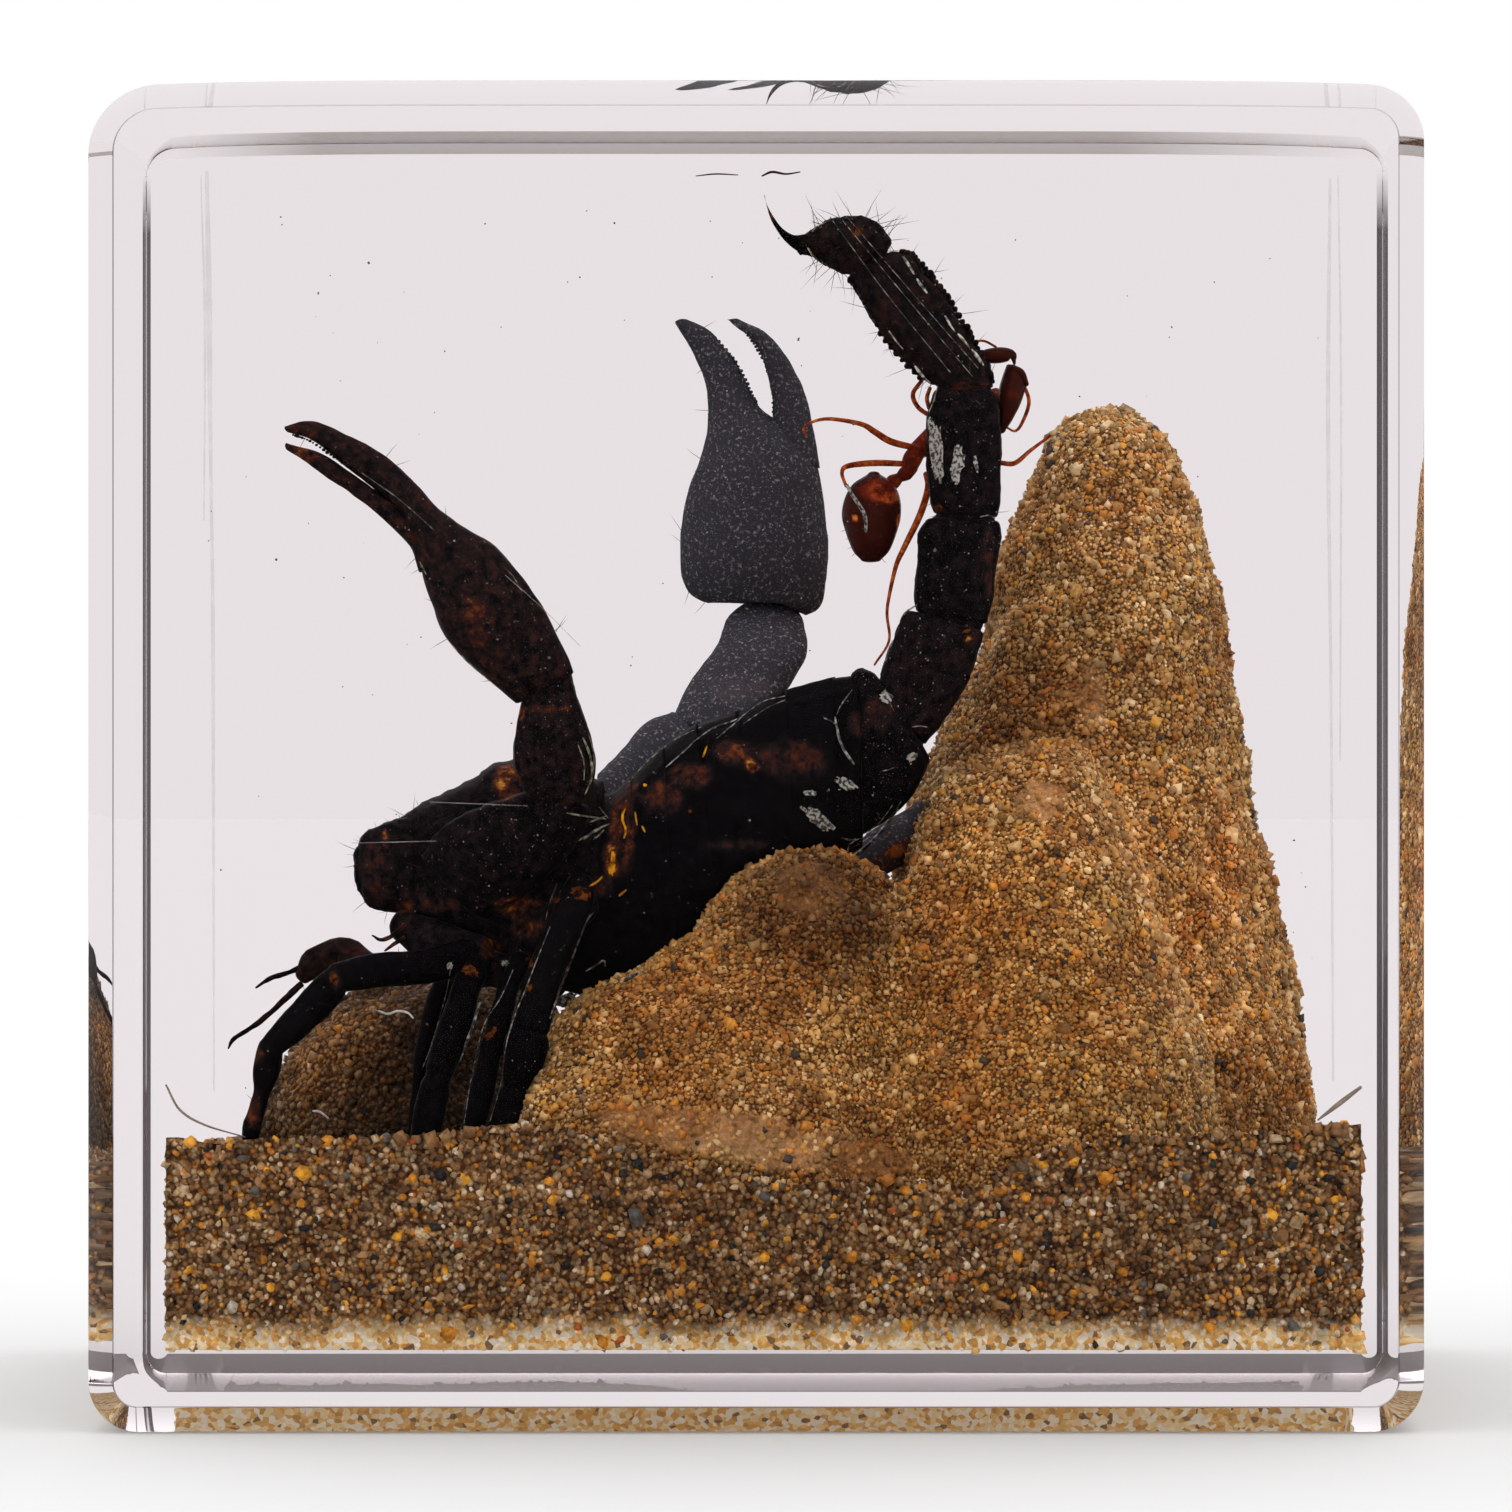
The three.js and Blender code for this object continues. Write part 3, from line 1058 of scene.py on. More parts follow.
def skin(name, rows, rings=24, sides=32, squareness=2.2, cap=0.25, keels=(), span=(0, 1), flare=0.0):
    """A loft between two outlines; rows hold right, down, right, down, depth and half depth."""
    spots = flow(rows, rings, span)
    one, other = at(spots[:, 0], spots[:, 1], spots[:, 4]), at(spots[:, 2], spots[:, 3], spots[:, 4])
    grow = 1 + flare * np.linspace(0, 1, rings)[:, None]
    reach = (one - other) / 2 * grow
    back = np.zeros_like(reach)
    back[:, 1] = -spots[:, 5] * MM
    return loft(name, (one + other) / 2, reach, back * grow, cap * MM, sides, squareness, keels)


def limb(name, rows, rings=18, sides=12):
    """A round loft along a line; rows hold right, down, depth and the radius in view pixels."""
    spots = flow(rows, rings)
    middle = at(spots[:, 0], spots[:, 1], spots[:, 2])
    along = np.gradient(middle, axis=0)
    along /= np.linalg.norm(along, axis=1)[:, None]
    side = np.cross(along, (0, 1, 0.001))
    side /= np.linalg.norm(side, axis=1)[:, None]
    radius = np.maximum(spots[:, 3:4], 0.4) * PIXEL
    back = np.cross(side, along) * radius
    return loft(name, middle, side * radius, back, float(radius[0, 0]) * 0.7, sides, 2.0)


# %% [markdown]
# ### Cuticle
#
# Scorpion cuticle is black where it is thick, red-brown where it is thin and amber where only a membrane is
# left between two plates. One ramp holds these colours in that order. A number on each point says how thin
# the cuticle is there, and noise breaks up the edges. The surface is satin and finely grained. The resin
# has nearly its index, so it shines only a little. The far limbs look greyer from the front, because fine
# dust lies on the side of them that faces it, and their side that faces away is painted darker, as painted
# shade.

# %% The cuticle's finish
# Each spot: right, down, half width, half height, and how thin the cuticle is there.
BROWN_SPOTS = (
    (296, 432, 24, 10, 0.55), (300, 456, 26, 12, 0.55), (476, 620, 22, 34, 0.5), (496, 672, 22, 26, 0.42),
    (378, 866, 18, 40, 0.42), (385, 840, 4, 13, 0.72), (507, 782, 15, 22, 0.7), (545, 709, 34, 4, 0.56),
    (520, 714, 6, 8, 0.66), (662, 797, 22, 20, 0.5), (690, 776, 26, 15, 0.5), (735, 752, 22, 13, 0.56),
    (792, 760, 40, 22, 0.46), (752, 766, 8, 7, 0.74), (632, 790, 8, 10, 0.6), (740, 845, 44, 6, 0.38),
    (622, 832, 15, 44, 0.58), (612, 858, 9, 20, 0.72), (604, 886, 10, 10, 0.56), (517, 906, 28, 10, 0.64),
    (528, 928, 18, 12, 0.56), (490, 948, 10, 13, 0.66), (440, 905, 26, 12, 0.44), (405, 905, 10, 14, 0.5),
    (968, 639, 5, 4, 0.72), (938, 507, 5, 4, 0.8), (858, 232, 5, 7, 0.6), (972, 386, 22, 5, 0.5),
    (988, 563, 6, 44, 0.46), (335, 978, 5, 8, 0.7), (770, 205, 7, 20, 0.5), (905, 843, 10, 8, 0.9),
    (894, 853, 11, 9, 0.9), (880, 865, 11, 8, 0.85), (740, 690, 34, 14, 0.36), (880, 712, 22, 20, 0.42),
    (860, 724, 12, 14, 0.46), (880, 490, 22, 14, 0.52), (890, 497, 12, 8, 0.66), (899, 522, 3, 9, 0.9),
    (855, 518, 3, 4, 1.0), (1012, 392, 8, 10, 0.34), (256, 1056, 9, 9, 0.6), (254, 1110, 8, 22, 0.55),
)
CUTICLE = (
    (0.0, (0.0012, 0.0010, 0.0012)), (0.2, (0.006, 0.005, 0.0058)), (0.38, (0.022, 0.0125, 0.0125)),
    (0.55, (0.06, 0.017, 0.009)), (0.72, (0.19, 0.05, 0.014)), (0.86, (0.5, 0.19, 0.03)),
    (1.0, (0.95, 0.58, 0.06)),
)
FAR_CUTICLE = (
    (0.0, (0.056, 0.055, 0.066)), (0.18, (0.066, 0.062, 0.073)), (0.36, (0.095, 0.084, 0.094)),
    (0.5, (0.07, 0.04, 0.05)), (0.66, (0.16, 0.035, 0.018)), (0.8, (0.32, 0.075, 0.018)),
    (1.0, (0.5, 0.14, 0.03)),
)
# Dust on the far limbs: the size of its clots in mm, the noise level it starts and fills at.
DUST_GRAIN, DUST_FROM, DUST_FULL = 0.14, 0.56, 0.74
DUST_DIM, DUST_PALE = (0.22, 0.212, 0.215), (0.36, 0.35, 0.345)
# Painted shade: the far limbs' side that faces away from the front is painted darker, fading in between
# these two Y of the normals, down to the shade below.
BACK_TURNS = (0.05, 0.45)  # the Y of the normals between which the dust and haze end
PAINTED_BACK_SHADE = (0.12, 0.11, 0.11)
ANT_CUTICLE = (
    (0.0, (0.010, 0.004, 0.004)), (0.3, (0.06, 0.009, 0.005)), (0.5, (0.18, 0.018, 0.006)),
    (0.7, (0.48, 0.075, 0.013)), (1.0, (0.88, 0.36, 0.045)),
)


def dusted_and_shaded(tree, place, colour):
    """Fine pale dust, and painted shade that turns the side facing away from the front nearly black, so the
    dust shows on the side that faces forward.
    """
    specks = pattern(tree, place, "TexNoise", Scale=1000 / DUST_GRAIN, Detail=2.0)
    cover = ramp(tree, specks, "Fac", ((DUST_FROM, (0, 0, 0)), (DUST_FULL, (1, 1, 1))))
    pale = ramp(tree, specks, "Fac", ((DUST_FROM, DUST_DIM), (DUST_FULL, DUST_PALE)))
    speckled = blend(tree, cover, colour, pale)
    facing = add(tree, "SeparateXYZ")
    wire(tree, add(tree, "NewGeometry"), "Normal", facing, "Vector")
    backward = add(tree, "MapRange", From_Min=BACK_TURNS[0], From_Max=BACK_TURNS[1])
    wire(tree, facing, "Y", backward, "Value")
    shade = ramp(tree, backward, "Result", ((0.0, (1, 1, 1)), (1.0, PAINTED_BACK_SHADE)))
    return multiply(tree, speckled, shade)


def cuticle_finish(name, colours, mottle, roughness=0.4, ior=1.04, dust=False):
    """Cuticle whose colour follows thin, and breaks up by the low and high share of mottle."""
    material, tree, surface = new_finish(name, Roughness=roughness, IOR=ior)
    thin = add(tree, "Attribute", attribute_name="thin")
    place = add(tree, "TexCoord")
    clouds = pattern(tree, place, "TexNoise", Scale=2300.0, Detail=9.0, Roughness=0.72)
    level = add(tree, "MapRange", From_Min=0.38, From_Max=0.62, To_Min=mottle[0], To_Max=mottle[1])
    wire(tree, clouds, "Fac", level, "Value")
    both = add(tree, "Math", operation="MULTIPLY")
    wire(tree, thin, "Fac", both, 0)
    wire(tree, level, "Result", both, 1)
    colour = ramp(tree, both, "Value", colours)
    # The far limbs get their dust and the painted shade on their back side here.
    if dust:
        colour = dusted_and_shaded(tree, place, colour)
    tree.links.new(colour, surface.inputs["Base Color"])
    grain = pattern(tree, place, "TexNoise", Scale=6000.0, Detail=3.0)
    bump(tree, grain, "Fac", surface, 0.4, 0.03 * MM)
    return material


black_cuticle = cuticle_finish("black_cuticle", CUTICLE, (0.42, 1.3))
far_cuticle = cuticle_finish("hazed_cuticle", FAR_CUTICLE, (0.3, 1.3), 0.6, dust=True)
ant_cuticle = cuticle_finish("red_ant_cuticle", ANT_CUTICLE, (0.6, 1.25), 0.2, 1.1)
body_parts = []
SATIN = ((0.6, 0.04), (0.25, 0.012))  # sizes and heights of the cuticle's unevenness, in mm
COARSE = ((0.5, 0.06), (0.2, 0.09))


def grow(name, parts, finish=black_cuticle, grain=SATIN, base=0.0, slot="cuticle"):
    """Joins parts into one piece of an animal, roughens and colours it, and keeps it."""
    piece = join_as(name, parts)
    lump(piece, grain)
    mark(piece, "thin", soft_spots(points_of(piece), BROWN_SPOTS, base))
    body_parts.append(keep(piece, finish))
    return piece


# %% [markdown]
# ### The trunk
#
# A scorpion's trunk has a shield over the head end and seven rings behind it. Each ring's back
# edge lies over the next one's front, as roof slates do. So the rings are cut from one long loft,
# each a little wider at its back end than the next is where it starts.

# %% Shield, rings and jaws
SHIELD = (
    (400, 819, 402, 925, 17, 2.4), (418, 806, 414, 936, 17, 2.9), (440, 795, 440, 946, 17, 3.2),
    (472, 779, 474, 958, 17, 3.4), (500, 762, 506, 968, 17, 3.5), (550, 763, 552, 984, 17, 3.7),
    (602, 782, 596, 996, 17, 3.8),
)
TRUNK = (
    (592, 790, 560, 990, 17, 3.7), (614, 793, 598, 996, 17, 3.9), (644, 764, 650, 988, 17, 4.0),
    (672, 741, 690, 968, 17, 4.0), (703, 723, 728, 936, 17, 3.9), (740, 712, 762, 906, 17, 3.7),
    (783, 692, 794, 886, 16.8, 3.4), (828, 680, 830, 868, 16.5, 2.9), (857, 677, 862, 846, 16.2, 2.3),
)
RING_BREAKS = (0.03, 0.2, 0.34, 0.48, 0.62, 0.76, 0.9, 1.0)
RING_OVERLAP = 0.03
FLANK_KEELS = ((90, -0.03, 12), (38, 0.02, 6))
rings_of_trunk = [
    skin("ring", TRUNK, 14, 110, 2.3, 0.12, FLANK_KEELS, (max(low - RING_OVERLAP, 0), high), 0.02)
    for low, high in zip(RING_BREAKS, RING_BREAKS[1:])
]
grow("scorpion_trunk_rings", rings_of_trunk, base=0.14)
shield = skin("shield", SHIELD, 40, 56, 2.5, 0.3)
grow("scorpion_head_shield", [shield], grain=COARSE, base=0.26)
# Rows of a jaw without its depth; each jaw has a depth in mm and is drawn in by some pixels.
JAW = (
    (358, 846, 360, 892, 0.7), (364, 834, 368, 905, 1.1), (378, 826, 382, 911, 1.35),
    (393, 820, 398, 913, 1.4), (412, 816, 416, 915, 1.4),
)
jaws = []
for deep, drawn_in in ((15.5, 0), (18.5, 6)):
    rows = [
        (r1 + drawn_in, d1 + drawn_in, r2 + drawn_in, d2 - drawn_in, deep, half)
        for r1, d1, r2, d2, half in JAW
    ]
    jaws.append(skin("jaw", rows, 26, 44, 2.4, 0.2))
grow("scorpion_jaws", jaws, grain=((0.5, 0.06), (0.2, 0.07)), base=0.28)
COXAE = (
    ((404, 925, 15, 18), (440, 945, 14, 24), (480, 955, 13.2, 20)),
    ((430, 950, 15.5, 18), (470, 965, 14.5, 22), (500, 970, 13.4, 18)),
    ((470, 962, 16, 18), (510, 970, 15, 22), (535, 972, 13.6, 16)),
    ((500, 950, 16, 26), (540, 940, 14, 26), (580, 905, 12, 20)),
)
grow("scorpion_hip_plates", [limb("hip", rows, 20, 30) for rows in COXAE], base=0.3)

# %% [markdown]
# ### The tail
#
# The tail has five segments and a bulb with the sting. The joints pinch, and each segment carries
# rows of beads along its keels. A loft gives the segment with soft keels, and small beads are set
# along two of them, because they make the saw-toothed outline of the last segment.

# %% Tail segments, bulb and sting
TAIL = (
    ("scorpion_tail_1",
     ((846, 690, 856, 838, 16.4, 1.9), (851, 675, 884, 822, 16.4, 2.1), (861, 668, 912, 796, 16.3, 2.1),
      (872, 672, 930, 762, 16.2, 1.8))),
    ("scorpion_tail_2",
     ((877, 690, 926, 744, 16, 1.5), (883, 668, 950, 712, 16, 1.7), (891, 647, 967, 684, 16, 1.7),
      (897, 628, 976, 659, 16, 1.65), (906, 612, 984, 634, 16, 1.5))),
    ("scorpion_tail_3",
     ((916, 610, 987, 622, 16, 1.4), (914, 592, 993, 600, 16, 1.6), (917, 563, 996, 567, 16, 1.6),
      (918, 535, 1001, 538, 16, 1.55), (926, 520, 999, 523, 16, 1.4))),
    ("scorpion_tail_4",
     ((934, 512, 998, 515, 16, 1.3), (929, 496, 1000, 500, 16, 1.45), (927, 465, 1001, 468, 16, 1.45),
      (926, 432, 1001, 434, 16, 1.4), (928, 410, 999, 406, 16, 1.35), (935, 391, 994, 393, 16, 1.2))),
    ("scorpion_tail_5",
     ((930, 383, 993, 386, 16, 1.15), (918, 376, 985, 365, 16, 1.25), (904, 362, 974, 344, 16, 1.3),
      (888, 344, 960, 321, 16, 1.3), (872, 320, 943, 294, 16, 1.25), (859, 298, 926, 275, 16, 1.2),
      (851, 283, 911, 257, 16, 1.1), (850, 275, 896, 252, 16, 0.95))),
)
TAIL_KEELS = tuple((angle, 0.05, 5) for angle in (28, 62, 118, 152, 208, 242, 298, 332))
TAIL_THINNESS = (0.22, 0.3, 0.25, 0.27, 0.34)  # the cuticle's of each segment
SAW_EDGE = ((992, 381), (986, 365), (975, 344), (961, 320), (944, 293), (928, 273), (912, 256), (903, 252))
SAW_EDGE_LEFT = ((920, 378), (888, 343), (865, 300), (851, 280))
SAW_EDGE_INNER = [(right - 22, down + 8) for right, down in SAW_EDGE]


def bead_line(path, deep, count, radius):
    """Small beads along a line of the view, set a little unevenly."""
    spots = flow(path, count)
    beads = []
    for k, (right, down) in enumerate(spots):
        size = radius * (0.75 + 0.5 * ((k * 7) % 5) / 5)
        rows = [(right + end * size / 2, down, deep, size) for end in (-1, 1)]
        beads.append(limb("bead", rows, 3, 6))
    return beads


def pinched(row, share=0.9):
    """A row drawn in towards its middle, for the soft joint inside the segments' ends."""
    right, down = (row[0] + row[2]) / 2, (row[1] + row[3]) / 2
    ends = [middle + (spot - middle) * share for spot, middle in zip(row[:4], (right, down) * 2)]
    return (*ends, row[4], row[5] * share)


for number, (name, rows) in enumerate(TAIL):
    parts = [skin("segment", rows, 26, 56, 2.5, 0.18, TAIL_KEELS)]
    if number:
        before = TAIL[number - 1][1]
        joint = [pinched(row) for row in (before[-2], before[-1], rows[0], rows[1])]
        parts.append(skin("joint", joint, 10, 32, 2.3, 0.1))
    if name.endswith("5"):
        parts += bead_line(SAW_EDGE, 15.6, 32, 3.6) + bead_line(SAW_EDGE_LEFT, 15.4, 18, 3.0)
        parts += bead_line(SAW_EDGE_INNER, 14.9, 24, 2.6)
    grow(name, parts, grain=((0.6, 0.05), (0.2, 0.035)), base=TAIL_THINNESS[number])
BULB = (
    (889, 238, 868, 266, 16, 0.8), (880, 225, 857, 274, 16, 1.1), (862, 217, 843, 274, 16, 1.25),
    (846, 217, 831, 268, 16, 1.2), (830, 219, 820, 261, 16, 1.0), (817, 227, 810, 256, 16, 0.75),
    (806, 234, 803, 254, 16, 0.5),
)
STING = (
    (806, 234, 804, 255, 16, 0.5), (794, 235, 794, 249, 16, 0.32), (783, 229, 785, 241, 16, 0.24),
    (775, 219, 776, 229, 16, 0.18), (769, 209, 770, 217, 16, 0.12), (766, 202, 767, 207, 16, 0.07),
    (764, 195, 765, 197, 16, 0.03),
)
bulb = skin("bulb", BULB, 30, 40, 2.1, 0.3)
grow("scorpion_tail_bulb", [bulb], grain=((0.5, 0.05), (0.2, 0.07)), base=0.34)
sting = skin("sting", STING, 26, 16, 2.0, 0.05)
grow("scorpion_sting", [sting], grain=((0.5, 0.01),), base=0.2)

# %% [markdown]
# ### The claws
#
# Each arm ends in a hand with two fingers. One finger grows from the hand, the other moves. The
# hand is lofted with its fixed finger in one piece, as it grew, and the moving finger is a piece
# of its own that is sunk in the hand's end. Rows run from the tip to the wrist.

# %% Near and far arms
NEAR_HAND = (
    (286, 426, 290, 433, 8.4, 0.12), (305, 421, 309, 439, 8.5, 0.3), (326, 425, 327, 450, 8.6, 0.42),
    (350, 436, 342, 464, 8.7, 0.5), (377, 450, 366, 482, 8.8, 0.62), (396, 465, 386, 500, 8.9, 0.75),
    (417, 485, 404, 524, 9, 0.95), (437, 507, 417, 552, 9.1, 1.2), (464, 527, 425, 582, 9.2, 1.5),
    (490, 542, 434, 610, 9.3, 1.7), (511, 563, 443, 633, 9.4, 1.8), (530, 587, 458, 652, 9.5, 1.8),
    (547, 614, 479, 672, 9.6, 1.7), (562, 645, 500, 690, 9.7, 1.5), (574, 672, 516, 703, 9.8, 1.2),
)
NEAR_FINGER = (
    (287, 443, 287, 450, 8.5, 0.1), (303, 448, 305, 462, 8.5, 0.28), (322, 454, 322, 474, 8.6, 0.38),
    (346, 469, 344, 488, 8.7, 0.45), (372, 488, 371, 509, 8.8, 0.55), (400, 508, 396, 531, 8.9, 0.7),
    (424, 532, 411, 548, 9, 0.8), (440, 560, 419, 572, 9.1, 0.8),
)
NEAR_WRIST = (
    (523, 698, 572, 675, 9.9, 1.1), (520, 707, 575, 690, 10, 1.2), (517, 722, 583, 712, 10.2, 1.45),
    (514, 740, 589, 730, 10.4, 1.5), (513, 756, 594, 750, 10.6, 1.5), (516, 775, 596, 768, 10.8, 1.45),
    (528, 796, 592, 788, 11, 1.3), (542, 812, 582, 804, 11.2, 1.0),
)
NEAR_UPPER_ARM = (
    (590, 812, 530, 790, 11.5, 1.4), (578, 842, 500, 800, 12, 1.6), (548, 876, 468, 812, 12.6, 1.7),
    (512, 905, 440, 830, 13.4, 1.7), (486, 920, 422, 855, 14.2, 1.5),
)
FAR_HAND = (
    (676, 324, 688, 320, 28.6, 0.2), (687, 342, 709, 330, 28.7, 0.4), (697, 362, 722, 346, 28.8, 0.55),
    (705, 382, 735, 360, 28.9, 0.7), (708, 405, 747, 384, 29, 0.9), (707, 430, 762, 410, 29, 1.2),
    (700, 460, 792, 430, 29, 1.6), (690, 484, 816, 462, 29, 1.9), (683, 514, 824, 505, 29, 2.0),
    (680, 546, 828, 545, 29, 2.0), (682, 576, 827, 573, 29, 1.8), (690, 594, 825, 590, 29, 1.5),
    (708, 603, 822, 602, 29, 1.2), (732, 597, 817, 610, 29, 0.9), (754, 592, 806, 615, 29, 0.5),
)
FAR_FINGER = (
    (727, 320, 738, 319, 28.4, 0.2), (740, 330, 766, 333, 28.4, 0.4), (752, 339, 784, 353, 28.5, 0.55),
    (762, 356, 799, 379, 28.6, 0.65), (769, 382, 809, 406, 28.7, 0.75), (773, 414, 815, 437, 28.8, 0.9),
    (766, 452, 820, 468, 28.9, 1.0),
)
FAR_WRIST = (
    (752, 598, 798, 610, 29.6, 0.8), (729, 616, 804, 624, 28.8, 1.3), (718, 643, 807, 652, 27.4, 1.7),
    (700, 668, 796, 676, 26.6, 1.7), (683, 694, 782, 698, 25.8, 1.6), (672, 722, 760, 730, 25, 1.5),
)
FAR_UPPER_ARM = (
    (672, 712, 745, 770, 25, 1.5), (644, 724, 705, 800, 23.6, 1.5), (622, 750, 660, 830, 22, 1.5),
    (598, 774, 620, 850, 20.5, 1.4),
)


def teeth(path, deep, count):
    """The rough beads that line a finger's biting edge."""
    return bead_line(path, deep, count, 1.5)


grow("scorpion_near_hand", [
    skin("hand", NEAR_HAND, 60, 40, 2.2, 0.12, ((70, 0.05, 8), (110, 0.04, 8))),
    *teeth(((293, 435), (310, 441), (334, 457), (352, 470)), 8.3, 22),
], base=0.38)
grow("scorpion_near_finger", [skin("finger", NEAR_FINGER, 34, 24, 2.1, 0.08)], base=0.42)
grow("scorpion_near_wrist", [skin("wrist", NEAR_WRIST, 34, 64, 2.5, 0.25, TAIL_KEELS)], base=0.34)
upper_arm = skin("upper_arm", NEAR_UPPER_ARM, 26, 44, 2.2, 0.3)
grow("scorpion_near_upper_arm", [upper_arm], grain=COARSE, base=0.26)
grow("scorpion_far_hand", [
    skin("hand", FAR_HAND, 50, 40, 2.2, 0.15),
    *teeth(((711, 334), (736, 362), (751, 392), (760, 413)), 28.6, 22),
], far_cuticle)
grow("scorpion_far_finger", [
    skin("finger", FAR_FINGER, 34, 24, 2.1, 0.08),
    *teeth(((744, 330), (758, 350), (771, 380), (773, 412)), 28.4, 22),
], far_cuticle)
grow("scorpion_far_wrist", [skin("wrist", FAR_WRIST, 26, 36, 2.5, 0.25, TAIL_KEELS)], far_cuticle)
grow("scorpion_far_upper_arm", [skin("upper_arm", FAR_UPPER_ARM, 22, 36, 2.5, 0.25)], far_cuticle)

# %% [markdown]
# ### The legs
#
# Eight legs stand on the sand. Each has a thigh, a shin and a foot, which taper and meet in
# knuckles. They are rows along a line, from the hip to the ground, one list for each segment.

# %% Eight legs
LEGS = (
    ("scorpion_near_leg_1",
     (((468, 955, 13, 18), (424, 967, 11.5, 18), (378, 970, 10.5, 18), (338, 978, 10, 16)),
      ((340, 976, 10, 14), (326, 992, 9.8, 18), (300, 1019, 9.6, 17), (272, 1046, 9.5, 13)),
      ((271, 1046, 9.5, 13), (267, 1068, 9.5, 14), (261, 1095, 9.5, 9), (252, 1128, 9.5, 9),
       (248, 1158, 9.5, 7)))),
    ("scorpion_near_leg_2",
     (((478, 958, 12.8, 15), (466, 990, 11.6, 15), (453, 1034, 10.6, 17), (440, 1070, 10, 15)),
      ((440, 1072, 10, 13), (433, 1096, 9.9, 16), (426, 1130, 9.8, 16), (420, 1160, 9.8, 12)))),
    ("scorpion_near_leg_3",
     (((520, 962, 12.6, 12), (508, 990, 11, 11), (492, 1050, 10.2, 13)),
      ((492, 1048, 10.2, 11), (482, 1090, 10, 13), (473, 1128, 9.8, 12), (468, 1160, 9.8, 10)))),
    ("scorpion_near_leg_4",
     (((580, 884, 10.6, 14), (576, 900, 10, 18), (564, 928, 9.4, 18), (544, 977, 8.8, 18),
       (530, 1028, 8.6, 20)), ((530, 1026, 8.6, 17), (526, 1048, 8.6, 23), (515, 1088, 8.6, 13)),
      ((516, 1086, 8.6, 12), (510, 1105, 8.6, 17), (504, 1130, 8.6, 17), (496, 1160, 8.6, 12)))),
    ("scorpion_far_leg_1",
     (((420, 964, 20, 10), (384, 968, 22, 11), (362, 962, 23, 14), (345, 954, 23.6, 18),
       (316, 964, 24, 17), (303, 976, 24, 10)),
      ((300, 968, 24, 4), (284, 974, 24, 2.6), (271, 978, 24, 2.2), (257, 987, 24, 1.6)),
      ((301, 984, 24, 4), (284, 1000, 24, 3), (258, 1023, 24, 2.6), (235, 1038, 24, 2.2),
       (229, 1047, 24, 1.4)))),
    ("scorpion_far_leg_2",
     (((455, 960, 20, 13), (440, 1000, 22, 14), (428, 1050, 24, 13), (420, 1100, 25, 10),
       (414, 1160, 25, 8)),)),
    ("scorpion_far_leg_3",
     (((560, 980, 20, 12), (540, 1010, 22, 12), (520, 1070, 24, 12), (512, 1160, 25, 9)),)),
    ("scorpion_far_leg_4",
     (((800, 880, 20, 18), (850, 872, 22, 20), (882, 851, 23, 24), (906, 834, 24, 24), (922, 814, 24, 14)),
      ((922, 818, 24, 14), (934, 860, 25, 16), (940, 930, 26, 12), (944, 1000, 27, 9)))),
)
LEG_GRAIN = ((0.6, 0.05), (0.2, 0.025))
for name, segments in LEGS:
    finish = far_cuticle if name == "scorpion_far_leg_4" else black_cuticle
    thinness = 0.4 if name == "scorpion_far_leg_1" else 0.16
    grow(name, [limb("segment", rows, 22, 18) for rows in segments], finish, LEG_GRAIN, thinness)
FEELERS = (
    ((404, 925, 14, 3), (392, 936, 14, 2.4), (381, 940, 14, 2), (373, 936, 14, 1.3)),
    ((404, 938, 14, 3), (394, 944, 14, 2.2), (386, 950, 14, 1.2)),
)
grow("scorpion_mouth_feelers", [limb("feeler", rows) for rows in FEELERS], base=0.6)

# %% [markdown]
# ### The ant
#
# The ant hangs on behind the fourth tail segment: a round gaster and a two-knot waist on one side
# and a big-jawed head on the other. Its legs bend at every joint, so each is one limb through its
# knees. It is redder and glossier than the scorpion.

# %% The ant's body and limbs
GASTER = (
    (868, 474, 880, 474, 17.4, 0.35), (853, 484, 893, 483, 17.4, 0.9), (844, 500, 900, 498, 17.4, 1.15),
    (842, 518, 901, 517, 17.4, 1.2), (847, 536, 896, 535, 17.4, 1.05), (853, 551, 890, 550, 17.4, 0.8),
    (861, 560, 881, 560, 17.4, 0.4),
)
ANT_BITS = (
    ((918, 450, 17.6, 9), (912, 460, 17.6, 10), (909, 470, 17.6, 8)),
    ((914, 468, 17.6, 5), (906, 473, 17.6, 8), (899, 478, 17.6, 5)),
    ((900, 477, 17.6, 5), (893, 482, 17.6, 8), (886, 486, 17.6, 5)),
    ((918, 450, 17.8, 10), (940, 436, 18.2, 16), (975, 415, 18.4, 20), (1000, 400, 18, 14)),
)
ANT_HEAD = (
    (1006, 366, 1022, 372, 17, 0.5), (1000, 384, 1026, 385, 17, 0.8), (997, 400, 1021, 403, 17, 0.85),
    (996, 416, 1013, 419, 17, 0.7), (998, 430, 1006, 430, 17, 0.3),
)
ANT_JAWS = (
    ((980, 358, 16.6, 6), (990, 356, 16.6, 8), (1003, 355, 16.6, 8), (1012, 355, 16.6, 5),
     (1014, 361, 16.6, 2)), ((1012, 368, 16.6, 4), (1021, 373, 16.6, 4), (1026, 384, 16.6, 3)),
)
